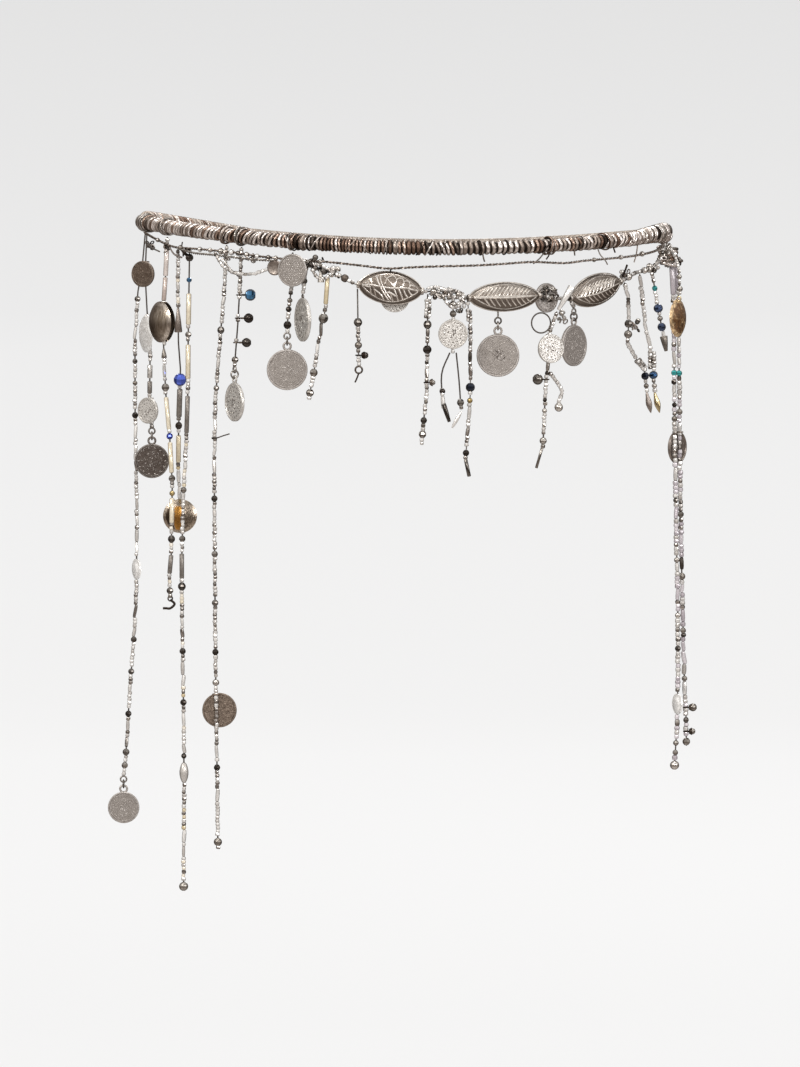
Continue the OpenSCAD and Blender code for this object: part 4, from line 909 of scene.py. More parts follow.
# A second twisted pair beside it at the left
secondPoints = [(-71, -3.6), (-66, -4.9), (-60.5, -5.4), (-54, -6.1), (-47.6, -6.8), (-40.6, -7.2)]
loopPoints = [(-60.6, -75.4, -4.6), (-57.8, -79.2, -9), (-54.5, -82.4, -11), (-50.5, -85.2, -11.6),
              (-47, -87.4, -11.3), (-43.6, -89.4, -10)]


def underFront(x, z, out):  # a point at a height under the hoop's front
    p = hoopPoint(angleAcross(x))
    return Vector((p.x, p.y, z)) + outwardsAt(p) * out


def acrossPoint(points, x):
    route = inMetres(points)
    far = distances(route)
    return alongRoute(route, far, distanceAt(route, far, x * mm, 0))


def twisted(points, strand, apart, stepsPerTurn=8):  # two wires wound round each other along a line
    line = rounded(points, 5)
    far = distances(line)
    made = []
    count = int(far[-1] / swag["pitch"] * stepsPerTurn)
    for phase in (0, math.pi):
        strandPoints = []
        for i in range(count + 1):
            spot, direction = alongRoute(line, far, far[-1] * i / count)
            side = direction.cross(Vector((0, 0, 1))).normalized()
            up = side.cross(direction)
            a = phase + 2 * math.pi * i / stepsPerTurn
            strandPoints.append(spot + (side * math.cos(a) + up * math.sin(a)) * apart)
        made.append(tint(wireAlong(strandPoints, strand), 0.3 + 0.4 * (phase > 0)))
    return made


swagRoute = [underFront(x, z, swag["offset"]) for x, z in swagPoints]
strands = twisted(swagRoute, swag["strand"], swag["apart"])
secondRoute = [underFront(x, z, swag["secondOffset"]) for x, z in secondPoints]
strands += twisted(secondRoute, swag["strand"], swag["apart"])
swagParts = [dress(*pair) for pair in zip(strands, ("platedWire", "ironWire", "castSilver", "greyWire"))]
for x, d, finish in swagBeads:
    spot, direction = acrossPoint(swagRoute, x)
    swagParts.append(copyOf(ballPattern, at(spot) @ aim(direction) @ grow(d), finish))
swagParts.append(wired(swag["link"], swag["linkWire"], "ironWire", 0.2))
joined("swagWires", swagParts, instead=["swag_string"])

loopParts = [dress(part, "greyWire") for part in twisted(loopPoints, swag["loopStrand"], swag["loopApart"])]
loopParts += seedsAlong(inMetres(loopPoints), [], "pale", 1.2, 1.3, 0, 0.3)
joined("leftLoop", loopParts, instead=["left_loop_string"])
print("swag and loop")


# Coins. Struck relief of a generic kind: a raised edge and a ring, with dots, strokes or a small fan

coin = {"field": 0.7, "relief": 0.2, "rim": 0.055, "line": 0.425, "lineWire": 0.2, "high": 0.34, "low": 0.42,
        "grain": 0.66, "grainSize": (0.45, 0.6)}
wornField = {"strokes": 0.85, "star": 0.6, "grains": 0.05, "crest": 0.3}  # how bright each design's field is
reliefShades = {"dots": (1.3, 1.7), "grains": (0.4, 1.3)}


def coinParts(d, place, finish, design="fine"):
    h = coin["field"] / 2
    t = h + coin["relief"]
    rim = coin["rim"] * d
    e = d / 2
    base = turned([(-h, 0.12 * d), (-h, e - rim), (-t, e - 0.8 * rim), (-t, e - 0.2), (-t + 0.2, e),
                   (t - 0.2, e), (t, e - 0.2), (t, e - 0.8 * rim), (h, e - rim), (h, 0.12 * d)], 48, 35)
    worn = wornField.get(design, dice.uniform(0.2, 0.3))
    made = [used(base, place, finish)]
    inverse = place.inverted()
    tint(made[0], lambda co: 0.62 if (inverse @ (co * mm)).xy.length > (e - 0.9 * rim) * mm else worn)
    shades = reliefShades.get(design, (0.4, 0.8))

    def stamp(r, angle, wide, long, turn=0, tall=coin["high"], metal=finish):  # a raised stroke, both faces
        for face in (0, 180):
            spot = (place @ spin(face, "X") @ spin(angle) @ move(r, 0, h - 0.1) @ spin(turn)
                    @ grow(long, wide, tall))
            made.append(copyOf(dotPattern, spot, metal, dice.uniform(*shades)))

    if design == "grains":  # small pressed grains in rows all over
        rows = int(d / coin["grain"])
        for i in range(-rows, rows + 1):
            for k in range(-rows, rows + 1):
                x = (i + 0.5 * (k % 2)) * coin["grain"] + dice.uniform(-0.1, 0.1)
                y = k * coin["grain"] * 0.87 + dice.uniform(-0.1, 0.1)
                if math.hypot(x, y) < e - rim - 0.2:
                    stamp(math.hypot(x, y), math.degrees(math.atan2(y, x)), dice.uniform(*coin["grainSize"]),
                          dice.uniform(*coin["grainSize"]), 0, 0.3)
        return made
    if design == "dots":  # one ring of round dots with worn strokes inside
        for k in range(14):
            stamp(0.385 * d, 360 * k / 14, 0.05 * d, 0.05 * d, 0, 0.5)
        shades, strokes, reach, size = (0.5, 1.1), 70, 0.3, 0.034
    elif design == "strokes":  # dark slanted strokes round the edge and larger ones inside
        for k in range(22):
            lean = dice.choice((30, 50, -40, 70))
            stamp(0.39 * d, 360 * k / 22, 0.03 * d, 0.08 * d, lean, coin["low"], "coinDark")
        for k in range(12):
            stamp(0.28 * d, 30 * k, 0.035 * d, 0.1 * d, dice.uniform(-60, 60), coin["low"], "coinDark")
        for k in range(14):
            stamp(0.18 * d * math.sqrt(dice.random()), dice.uniform(0, 360), 0.035 * d, 0.1 * d,
                  dice.uniform(0, 180), coin["low"], "coinDark")
        strokes, reach, size = 24, 0.38, 0.05
    elif design == "star":  # eight rays in a ring of short strokes
        for k in range(8):
            stamp(0.14 * d, 45 * k, 0.05 * d, 0.2 * d)
        for k in range(20):
            stamp(0.36 * d, 18 * k, 0.04 * d, 0.05 * d)
        strokes, reach, size = 20, 0.3, 0.05
    else:  # fine worn strokes all over, with a few plain curls at the middle
        strokes, reach, size = 170, 0.39, 0.03
        if design == "crest":  # a small fan over a bar
            for k in range(9):
                stamp(0.1 * d, 22.5 * k, 0.03 * d, 0.13 * d, 0, 0.46, "coinDark")
            for k in range(5):
                stamp(0.04 * d * k, 200 + 35 * k, 0.03 * d, 0.1 * d, 60, 0.46, "coinDark")
        for k in range(5):
            stamp(0.09 * d, 72 * k, 0.04 * d, 0.12 * d, dice.uniform(20, 70), 0.5)
    for k in range(strokes):
        stamp(reach * d * math.sqrt(dice.random()), dice.uniform(0, 360), size * d * dice.uniform(0.6, 1),
              size * d * dice.uniform(1.2, 2.2), dice.uniform(0, 180), 0.4)
    for face in (0, 180):
        line = ring(coin["line"] * d, coin["lineWire"], 40, 5)
        made.append(used(line, place @ spin(face, "X") @ move(0, 0, h), finish, 0.8))
    return made


bail = {"r": 1.03, "wire": 0.5}
gapOf = {"string": 0.9, "clear": 0.3}


def stringPoint(name, height):
    route = inMetres(strings[name]["route"])
    far = distances(route)
    return alongRoute(route, far, distanceAt(route, far, height * mm))


def bailOn(spot, direction, finish, r=bail["r"]):  # a ring threaded on a string
    return used(ring(r, bail["wire"], 18, 8), at(spot) @ aim(direction), finish)


def camelOf(node):
    first, *others = node.split("_")
    return first + "".join(word.title() for word in others)


# Columns: node, string, height, diameter, turn, in front or behind, sideways, finish, slot, design
strungCoins = [
    ("coin_left_top", "left2", -12, 8.6, -30, 1, 0, "coinBronze", "coin_brown", "fine"),
    ("coin_left_small", "left2", -56.8, 8.6, -40, 1, 0, "coinBright", "coin_silver", "strokes"),
    ("coin_left_long", "left6", -151.6, 11.1, 0, -1, 1, "coinBronze", "coin_brown", "star"),
    ("coin_front_small", "front5", -30.3, 9.4, 0, 1, 0, "coinBright", "coin_silver", "strokes"),
    ("coin_front_bright", "front7", -35.2, 9.2, 28, 1, 0, "coinBright", "coin_silver", "strokes"),
    ("coin_right_brown", "right5", -69.6, 10.8, 56, -1, 0.6, "brownMetal", "coin_brown", "star"),
]
for node, string, height, d, turn, side, sideways, finish, slot, design in strungCoins:
    spot, direction = stringPoint(string, height)
    away = side * (coin["field"] / 2 + coin["relief"] + gapOf["string"] / 2 + gapOf["clear"])
    parts = coinParts(d, at(spot) @ faceFront(turn) @ move(sideways, 0, away), finish, design)
    parts.append(bailOn(*stringPoint(string, height + d / 2 - 0.3), finish))
    joined(camelOf(node), parts, instead=[node])

swing = {"endLink": 1, "jumpRing": 1.25, "eye": 1.15, "eyeWire": 0.7, "wire": 0.56, "gap": 0.13, "sink": 0.15}
# Columns: node, middle, diameter, turn, finish, slot, design
swingingCoins = [
    ("coin_left_dark", (-82.7, -27, -73.4), 11.3, 0, "coinDark", "coin_dark", "dots"),
    ("coin_left_end", (-92.6, -20, -188.4), 10.4, 0, "coinSilver", "coin_silver", "fine"),
    ("coin_left_turned", (-54, -81, -52.4), 12.4, -62, "coinBright", "coin_silver", "strokes"),
    ("coin_front_left", (-37, -91.9, -41.8), 13, 0, "coinSilver", "coin_silver", "fine"),
    ("coin_front_middle", (29.9, -94.6, -37.2), 13.6, 0, "coinSilver", "coin_silver", "crest"),
    ("coin_front_right", (54.4, -78.6, -34.4), 13.2, 52, "coinSilver", "coin_silver", "fine"),
]
eyeGap = swing["wire"] / 2 + swing["eyeWire"] / 2 + swing["gap"]


def hingeHeight(middle, d):
    drop = 2 * swing["jumpRing"] - swing["wire"] - swing["gap"] - eyeGap + swing["eye"]
    return middle[2] + d / 2 + swing["eye"] - swing["sink"] + drop


endLinks = {}  # where the link is that each coin hangs in
for node, middle, d, turn, finish, slot, design in swingingCoins:
    here = at(Vector(middle) * mm) @ faceFront(turn)
    parts = coinParts(d, here, finish, design)
    eyeUp = d / 2 + swing["eye"] - swing["sink"]
    ringUp = eyeUp + swing["eye"] - eyeGap + swing["jumpRing"]
    parts.append(used(ring(swing["eye"], swing["eyeWire"], 22, 8), here @ move(0, eyeUp, 0), finish, 0.6))
    parts.append(used(ring(swing["jumpRing"], swing["wire"], 20, 8),
                      here @ move(0, ringUp, 0) @ spin(90, "Y"), "greyWire"))
    joined(camelOf(node), parts, body=node, instead=[node])
    endLinks[node] = move(middle[0], middle[1], hingeHeight(middle, d) + swing["endLink"]) @ faceFront(turn)


def endLinkFor(node):
    return used(ring(swing["endLink"], swing["wire"], 18, 8), endLinks[node], "greyWire")


coinTurned = {"middle": (-32, -94.6, -25.9), "turn": -70, "d": 13.8, "r": 0.7, "up": 7.3}
place = move(*coinTurned["middle"]) @ faceFront(coinTurned["turn"])
parts = coinParts(coinTurned["d"], place, "coinBright", "strokes")
parts.append(used(ring(coinTurned["r"], bail["wire"], 16, 8), place @ move(0, coinTurned["up"], 0),
                  "greyWire"))
joined("coinFrontTurned", parts, instead=["coin_front_turned"])

coinBehind = {"middle": (-2.8, -97.7, -18.8), "d": 9.4}
parts = coinParts(coinBehind["d"], move(*coinBehind["middle"]) @ faceFront(), "coinBright", "strokes")
joined("coinBehindLeft", parts, instead=["coin_behind_left"])

coinTextured = {"across": -35.2, "d": 10.3, "turn": -26, "aside": (0.7, -3.3, 1.35)}
spot, direction = acrossPoint(swagRoute, coinTextured["across"])
place = at(spot) @ faceFront(coinTextured["turn"]) @ move(*coinTextured["aside"])
parts = coinParts(coinTextured["d"], place, "coinSilver", "grains")
parts.append(bailOn(spot, direction, "greyWire"))
joined("coinTextured", parts, instead=["coin_textured"])
print("coins")


# Pressed discs

dome = {"wall": 0.6, "border": 0.9, "levels": 9, "sides": 40, "hammerMark": 2.2, "edge": 0.44}


def domeParts(d, rise, place, finish, hammer=0):
    r = (d * d / 4 + rise * rise) / (2 * rise)
    steps = [k + 0.6 for k in range(dome["levels"])]
    full = dome["levels"] - 0.4
    outer = [(rise - r + math.sqrt(r * r - x * x), x) for x in [d / 2 * s / full for s in steps]]
    inner = [(rise - r + math.sqrt((r - dome["wall"]) ** 2 - x * x), x)
             for x in [(d / 2 - dome["border"]) * s / full for s in steps]]
    profile = outer + [(0, d / 2 - 0.25)] + [(max(z, 0.02), x) for z, x in reversed(inner)]
    shell = turned(profile, dome["sides"], 50)
    if hammer:
        texture = bpy.data.textures.new("hammerMarks", "CLOUDS")
        texture.noise_scale = dome["hammerMark"] * mm
        pickOnly(shell)
        modifier = shell.modifiers.new("hammer", "DISPLACE")
        modifier.texture, modifier.strength, modifier.mid_level = texture, hammer * mm, 0.5
        bpy.ops.object.modifier_apply(modifier="hammer")
    shell = used(shell, place, finish)
    inverse = place.inverted()
    tint(shell, lambda co: 0.95 if (inverse @ (co * mm)).xy.length > dome["edge"] * d * mm else 0.5)
    return [shell]


discBright = {"height": -31.6, "turn": -66, "aside": (0, 0, 1.05), "d": 12.2, "rise": 1.4, "hammer": 0.5,
              "bail": -25.9}
here = at(stringPoint("left2", discBright["height"])[0]) @ faceFront(discBright["turn"])
place = here @ move(*discBright["aside"])
parts = domeParts(discBright["d"], discBright["rise"], place, "discBright", discBright["hammer"])
parts.append(bailOn(*stringPoint("left2", discBright["bail"]), "discBright"))
joined("discLeftBright", parts, instead=["disc_left_bright"])

discsDomed = {"height": -27.4, "turn": -56, "aside": -0.9, "apart": 0.7, "d": 13.4, "rise": 2.6,
              "bail": -21.1}
here = at(stringPoint("left3", discsDomed["height"])[0]) @ faceFront(discsDomed["turn"])
parts = []
for away, flip in ((discsDomed["apart"], 0), (-discsDomed["apart"], 180)):
    place = here @ move(discsDomed["aside"], 0, away) @ spin(flip, "Y")
    parts += domeParts(discsDomed["d"], discsDomed["rise"], place, "discBronze")
parts.append(bailOn(*stringPoint("left3", discsDomed["bail"]), "discBronze"))
joined("discsLeftDomed", parts, instead=["discs_left_domed"])

discBrass = {"middle": (-72.9, -46, -90.7), "back": -2.2, "d": 11.1, "rise": 1.6, "ring": (0, 5.5, -1.1),
             "r": 0.9, "top": 3.2, "brownTo": -1.9, "reflectionTo": 0.6}
here = move(*discBrass["middle"]) @ faceFront()
parts = domeParts(discBrass["d"], discBrass["rise"], here @ move(0, 0, discBrass["back"]), "discBrass")
inverse = here.inverted()


def brassShade(co):  # a bright edge and top, then from left to right darker brown, a band of painted gilt reflection, and grey
    spot = inverse @ (co * mm)
    if spot.xy.length > dome["edge"] * discBrass["d"] * mm or spot.y > discBrass["top"] * mm:
        return 1
    return 0.12 if spot.x < discBrass["brownTo"] * mm else 1.75 if spot.x < discBrass["reflectionTo"] * mm else 0.6


def edgeRing(setting, here):  # a brass ring through the disc's upper edge
    place = here @ move(*setting["ring"]) @ spin(90, "Y")
    return used(ring(setting["r"], bail["wire"], 16, 8), place, "brass")


tint(parts[0], brassShade)
parts.append(edgeRing(discBrass, here))
joined("discLeftBrass", parts, instead=["disc_left_brass"])

discShell = {"middle": (90.4, -17.6, -26.6), "turn": 62, "d": 12.6, "rise": 2, "ring": (0, 6.4, 0.5),
             "r": 0.7}
here = move(*discShell["middle"]) @ faceFront(discShell["turn"])
parts = domeParts(discShell["d"], discShell["rise"], here, "amberShell")
parts.append(edgeRing(discShell, here))
joined("discRightBrass", parts, instead=["disc_right_brass"])
print("discs")


# Leaf beads: pointed shells with a raised edge and raised veins. Veins are lines in the leaf's own
# measure, along from -1 to 1 and up from -1 to 1

def veinRow(points, step, count):  # the same vein again and again along the leaf
    return [[(x + step * k, y) for x, y in points] for k in range(count)]


# In each leaf, "low" and "high" are the shell's tone at its bottom and at its top: painted shade below and
# painted light above
leafLeft = {
    "middle": (-4.2, -101.6, -15.7), "turn": 0, "slope": -6, "size": (20, 10.1, 5.4),
    "low": 0.14, "high": 0.22, "veins": [
        [(-0.94, 0), (-0.7, 0.1), (-0.3, 0.02), (0.1, 0), (0.5, 0.1), (0.92, 0)],
        [(-0.9, -0.35), (-0.8, 0.5), (-0.62, -0.6)], [(-0.86, -0.05), (-0.7, -0.1)],
        [(-0.7, 0.66), (-0.6, 0.1), (-0.46, -0.66)],
        [(-0.5, 0.8), (-0.42, 0.3), (-0.28, -0.2), (-0.02, -0.78)],
        [(-0.38, 0.8), (-0.32, 0.3), (-0.18, -0.2), (0.08, -0.78)],
        [(-0.2, 0.2), (-0.12, 0.62), (0.06, 0.78), (0.18, 0.5), (0.08, 0.2)],
        [(-0.24, 0.72), (-0.02, 0.36), (0.16, 0.06)],
        [(0.14, 0.1), (0.2, 0.6), (0.36, 0.72), (0.44, 0.4), (0.32, 0.1)],
        [(0.4, 0.14), (0.46, 0.56), (0.6, 0.62), (0.64, 0.3)], [(0.62, 0.1), (0.68, 0.42), (0.8, 0.4)],
        [(0.12, -0.06), (0.22, -0.4), (0.32, -0.84)], [(0.28, -0.04), (0.38, -0.4), (0.48, -0.8)],
        [(0.44, -0.04), (0.52, -0.36), (0.62, -0.66)], [(0.6, -0.02), (0.68, -0.3), (0.76, -0.5)],
        [(-0.2, -0.4), (0, -0.3), (0.2, -0.5)], [(-0.56, -0.2), (-0.3, -0.5), (-0.16, -0.84)],
        [(-0.04, -0.2), (0.06, -0.5), (0.14, -0.86)],
    ]}
leafMiddle = {
    "middle": (31.8, -94.6, -18.6), "turn": 25, "slope": 1.5, "size": (24.4, 9, 5.6),
    "low": 0, "high": 0.42,
    "veins": [[(-0.97, 0.06), (-0.5, 0.08), (0, 0.04), (0.5, 0.02), (0.97, 0.02)],
              [(-0.97, -0.02), (-0.5, -0.03), (0, -0.06), (0.5, -0.05), (0.97, -0.02)]]
    + veinRow([(-0.86, 0.08), (-0.8, 0.34), (-0.72, 0.56), (-0.66, 0.7)], 0.12, 13)
    + veinRow([(-0.7, -0.1), (-0.62, -0.4), (-0.52, -0.66)], 0.16, 9)}
leafRight = {
    "middle": (61.5, -71.8, -16.7), "turn": 43, "slope": 13, "size": (22.6, 9.7, 5.6),
    "low": 0.14, "high": 0.3,
    "veins": [[(-0.95, -0.05), (-0.4, -0.16), (0.1, -0.14), (0.6, -0.04), (0.95, 0)]]
    + veinRow([(-0.82, -0.1), (-0.74, 0.24), (-0.62, 0.5), (-0.5, 0.62)], 0.15, 10)
    + veinRow([(-0.76, 0.02), (-0.66, 0.3), (-0.56, 0.44)], 0.15, 9)
    + veinRow([(-0.7, -0.2), (-0.6, -0.46), (-0.48, -0.66)], 0.17, 8)}
leafMake = {"sections": 24, "sides": 28, "vein": 0.54, "border": 0.42, "edge": 0.6, "sink": 0.97,
            "inset": 0.94, "borderReach": (0.95, 0.88), "end": 1, "endThick": 0.32,
            "collar": [(-0.5, 0.7), (-0.45, 1.05), (0, 1.2), (0.45, 1.05), (0.5, 0.7)]}


def leafHalfHeight(leaf, x):
    halfL, halfH = leaf["size"][0] / 2, leaf["size"][1] / 2
    return max(leafMake["end"], halfH * max(0, 1 - (x / halfL) ** 2) ** 0.6)


def leafHalfThick(leaf, x):
    share = (leafHalfHeight(leaf, x) / (leaf["size"][1] / 2)) ** 0.75
    return leaf["size"][2] / 2 * max(leafMake["endThick"], share)


def leafParts(leaf):
    halfL = leaf["size"][0] / 2
    place = at(Vector(leaf["middle"]) * mm) @ spin(leaf["turn"]) @ spin(-leaf["slope"], "Y")
    startFresh()
    x, h, t = -halfL, leafHalfHeight(leaf, -halfL), leafHalfThick(leaf, -halfL)
    bpy.ops.mesh.primitive_circle_add(vertices=leafMake["sides"], radius=mm, fill_type="NGON",
                                      location=(x * mm, 0, 0), rotation=(0, math.pi / 2, 0))
    bpy.ops.object.mode_set(mode="EDIT")
    bpy.ops.transform.resize(value=(1, t, h), center_override=(x * mm, 0, 0))
    for i in range(1, leafMake["sections"] + 1):
        nextX = -halfL * math.cos(math.pi * i / leafMake["sections"])
        nextH, nextT = leafHalfHeight(leaf, nextX), leafHalfThick(leaf, nextX)
        bpy.ops.mesh.extrude_region_move(TRANSFORM_OT_translate={"value": ((nextX - x) * mm, 0, 0)})
        bpy.ops.transform.resize(value=(1, nextT / t, nextH / h), center_override=(nextX * mm, 0, 0))
        x, h, t = nextX, nextH, nextT
    bpy.ops.mesh.select_all(action="SELECT")
    bpy.ops.mesh.normals_make_consistent(inside=False)
    bpy.ops.object.mode_set(mode="OBJECT")
    bpy.ops.object.shade_smooth_by_angle(angle=math.radians(50))
    shell = used(settle(bpy.context.object), place, "leafMetal")
    inverse = place.inverted()
    # painted light and shade: the shell is darker towards its bottom and lighter towards its top
    tint(shell, lambda co: leaf["low"] + (leaf["high"] - leaf["low"]) * (
        0.5 + max(-0.5, min(0.5, 2.5 * (inverse @ (co * mm)).z / mm / leaf["size"][1]))))
    made = [shell]

    def onShell(u, v, face):
        x = u * halfL * leafMake["inset"]
        h, t = leafHalfHeight(leaf, x), leafHalfThick(leaf, x)
        v = max(-leafMake["inset"], min(leafMake["inset"], v))
        return Vector((x, face * t * math.sqrt(1 - v * v) * leafMake["sink"], v * h * leafMake["sink"]))

    for face in (-1, 1):
        for vein in leaf["veins"]:
            line = [onShell(p.x, p.y, face) for p in rounded([(u, v, 0) for u, v in vein], 5)]
            wire = wireAlong(line, leafMake["vein"] * dice.uniform(0.85, 1.15))
            made.append(used(wire, place, "leafMetal", dice.uniform(0.9, 1.3)))
        along, up = leafMake["borderReach"]
        around = [math.radians(10 * k) for k in range(36)]
        border = [onShell(along * math.cos(a), up * math.sin(a), face) for a in around]
        made.append(used(wireAlong(border, leafMake["border"], closed=True), place, "leafMetal", 0.8))
    edge = [-halfL * 0.99 * math.cos(math.pi * k / 28) for k in range(29)]
    outline = [Vector((x, 0, leafHalfHeight(leaf, x))) for x in edge]
    outline += [Vector((x, 0, -leafHalfHeight(leaf, x))) for x in reversed(edge)]
    made.append(used(wireAlong(outline, leafMake["edge"], closed=True), place, "leafMetal", 0.85))
    for side in (-1, 1):
        collar = turned(leafMake["collar"], 14)
        made.append(used(collar, place @ move(side * (halfL + 0.2), 0, 0) @ spin(90, "Y"), "leafMetal", 0.7))
    return made


joined("leafBeadLeft", leafParts(leafLeft), instead=["leaf_bead_left"])
parts = leafParts(leafMiddle)
parts.append(endLinkFor("coin_front_middle"))
node, (x, y, z), d, *others = swingingCoins[4]
stem = {"wire": 0.56, "overlap": 0.2, "top": -22.2}  # from the coin's link up into the leaf bead
linkTop = hingeHeight((x, y, z), d) + 2 * swing["endLink"]
parts.append(wired([(x, y, linkTop - stem["overlap"]), (x, y, stem["top"])], stem["wire"], "greyWire", 0.5))
joined("leafBeadMiddle", parts, instead=["leaf_bead_middle"])
joined("leafBeadRight", leafParts(leafRight), instead=["leaf_bead_right"])
print("leaf beads")


# Hanging strings, node by node

def joinString(piece, node, seeds, beads, thread="string"):
    joined(piece.format("Seeds"), seeds, instead=[node.format(thread)])
    joined(piece.format("Beads"), beads, instead=[node.format("beads")])


def buildGroup(piece, node, names, extras=(), thread="string"):
    seeds, beads = [], []
    for name in names:
        someSeeds, someBeads = buildString(name)
        seeds += someSeeds
        beads += someBeads
    joinString(piece, node, seeds, beads + list(extras), thread)


def beadOn(name, height, d):
    spot, direction = stringPoint(name, height)
    return copyOf(cutPattern, at(spot) @ aim(direction) @ grow(d), "gunmetal")


hook = {"line": [(-75.7, -55, -117.3), (-74.3, -55, -118.7), (-75.7, -55, -120.1), (-77, -55, -120.1),
                 (-78.1, -55, -120.1)], "wire": 0.8, "ring": (-75.7, -55, -116.9), "r": 0.8, "turn": 30}
twig = {"height": -64, "wire": 0.45, "r": 0.84,
        "line": [(-0.9, 0.3, -0.3), (0.8, -0.3, 0), (2.8, -0.3, 0.7), (4.8, -0.3, 1.3)]}
leftEnds = {1: "coin_left_end", 2: "coin_left_dark", 7: "coin_left_turned"}
for i in range(1, 8):
    seeds, beads = buildString(f"left{i}")
    if i in leftEnds:
        beads.append(endLinkFor(leftEnds[i]))
    if i == 3:  # the hook at the end
        beads.append(wired(rounded(hook["line"]), hook["wire"], "ironWire", 0.3, 2))
        place = move(*hook["ring"]) @ faceFront(hook["turn"])
        beads.append(used(ring(hook["r"], bail["wire"], 16, 8), place, "ironWire"))
    if i == 6:  # a bent twig of wire looped round the string
        spot, direction = stringPoint("left6", twig["height"])
        line = [spot / mm + Vector(q) for q in twig["line"]]
        beads.append(wired(rounded(line, 4), twig["wire"], "ironWire", 0.5))
        beads.append(used(ring(twig["r"], twig["wire"], 14, 6), at(spot), "ironWire"))
    slot = "brass_seed_beads" if i == 3 else "silver_seed_beads"
    joinString(f"left{{}}{i}", f"left_{{}}_{i}", seeds, beads)
print("left strings")


def frontGroup(number, names, extras=()):
    buildGroup(f"front{{}}{number}", f"front_{{}}_{number}", names, extras)


tail = {"line": [(-14.2, -100.8, -42.5), (-14.6, -100.8, -43.8), (-15.4, -100.8, -45.6)], "wire": 0.6,
        "ring": (-14.2, -100.8, -41.6), "r": 1.1}
folded = {"d": 1.3, "length": 6.2, "middle": (16.8, -99.6, -57.4), "along": (2.9, 0.3, 5.1),
          "squash": (0.9, 0.6, 1)}
drop = {"middle": (49.5, -82.9, -54),
        "profile": [(-1.4, 0.3), (-1.2, 0.75), (-0.7, 1.22), (0, 1.4), (0.7, 1.22), (1.3, 0.7), (2.1, 0.36)]}


def endBead(pattern, x, y, z, along, finish):  # a long bead at the end of a string, in the string's direction
    return used(pattern, move(x, y, z) @ aim(Vector(along)), finish)


frontGroup(1, ["front1", "front1b"], [endLinkFor("coin_front_left"), beadOn("front1b", -13.6, 2.2)])
frontGroup(2, ["front2"])
frontGroup(3, ["front3"], [
    used(ring(tail["r"], tail["wire"], 18, 8), move(*tail["ring"]) @ faceFront(), "ironWire"),
    wired(rounded(tail["line"], 4), tail["wire"], "ironWire", 0.4)])
frontGroup(4, ["front4"])
place = move(*folded["middle"]) @ aim(Vector(folded["along"])) @ grow(*folded["squash"])
foldedBead = used(riceOf(folded["d"], folded["length"]), place, "silverSeed")
frontGroup(5, ["front5", "front5Left", "front5Right"], [
    beadOn("front5Left", -48.4, 1.9), beadOn("front5Right", -52, 2.4),
    endBead(coneOf(1.6, 6, 0.9), 12.6 + 0.93, -99.7, -52.4 - 2.85, (-0.31, 0, 0.95), "gunmetal"), foldedBead])
dropPattern = turned(drop["profile"], 14)
frontGroup(6, ["front6", "front7", "front7Side", "front8"], [
    endBead(tubeOf(1.2, 5.6), 19.6 + 0.58, -98.3, -70 - 2.74, (-0.208, 0, 0.978), "gunmetal"),
    endBead(coneOf(2.5, 8.6, 0.9), 49.2 + 2.21, -86.1, -22.9 + 3.69, (0.515, 0, 0.857), "silverSeed"),
    endLinkFor("coin_front_right"),
    used(dropPattern, move(*drop["middle"]), "castSilver"),
    endBead(tubeOf(0.9, 7), 44.2 - 0.96, -86.1, -66.6 - 3.36, (0.276, 0, 0.961), "gunmetal")])
print("front strings")

# Flat leaf drops. Columns: place, turn, finish
leafDrops = [(79.6, -49.2, -53.4, -12, "brownMetal"), (82.5, -44.4, -53.5, -14, "brass")]
leafDropProfile = [(-3, 0.12), (-2.4, 0.45), (-1.6, 0.8), (-0.6, 1.08), (0.4, 0.98), (1.4, 0.66), (2.3, 0.5),
                   (2.7, 0.25)]
extras = [used(turned(leafDropProfile, 12), move(x, y, z) @ spin(turn, "Y") @ grow(0.95, 0.6, 1.2), finish)
          for x, y, z, turn, finish in leafDrops]
extras.append(endBead(coneOf(2.6, 5, 0.9), 84.9 + 0.43, -37.6, -32.2 - 2.46, (-0.17, 0, 0.985), "castSilver"))
buildGroup("rightShort{}", "right_short_{}", ["right1", "right2", "right3"], extras, "strings")
buildGroup("rightLong{}", "right_long_{}", ["right4", "right5", "right6"], (), "strings")
print("right strings")


# Garland

def leafTip(leaf, side, beyond):
    axis = (Matrix.Rotation(math.radians(leaf["turn"]), 3, "Z")
            @ Matrix.Rotation(math.radians(-leaf["slope"]), 3, "Y") @ Vector((1, 0, 0)))
    return tuple(Vector(leaf["middle"]) + axis * side * (leaf["size"][0] / 2 + beyond))


leaves = (leafLeft, leafMiddle, leafRight)
leftTips, middleTips, rightTips = [[leafTip(leaf, side, 1) for side in (-1, 1)] for leaf in leaves]
garlandPoints = [(-33, -95, -8.2), (-29.6, -96.2, -8.9), (-26, -97.6, -10.2), (-20.5, -99.5, -11.6),
                 (-17, -101, -13.6), *leftTips, (11.8, -101.2, -16.8), (16.5, -100.6, -17.4), *middleTips,
                 (49, -84.6, -19.2), *rightTips, (75, -53.5, -11.4), (80.6, -38, -10.2), (84.6, -24, -7),
                 (86, -20.6, -2.6)]
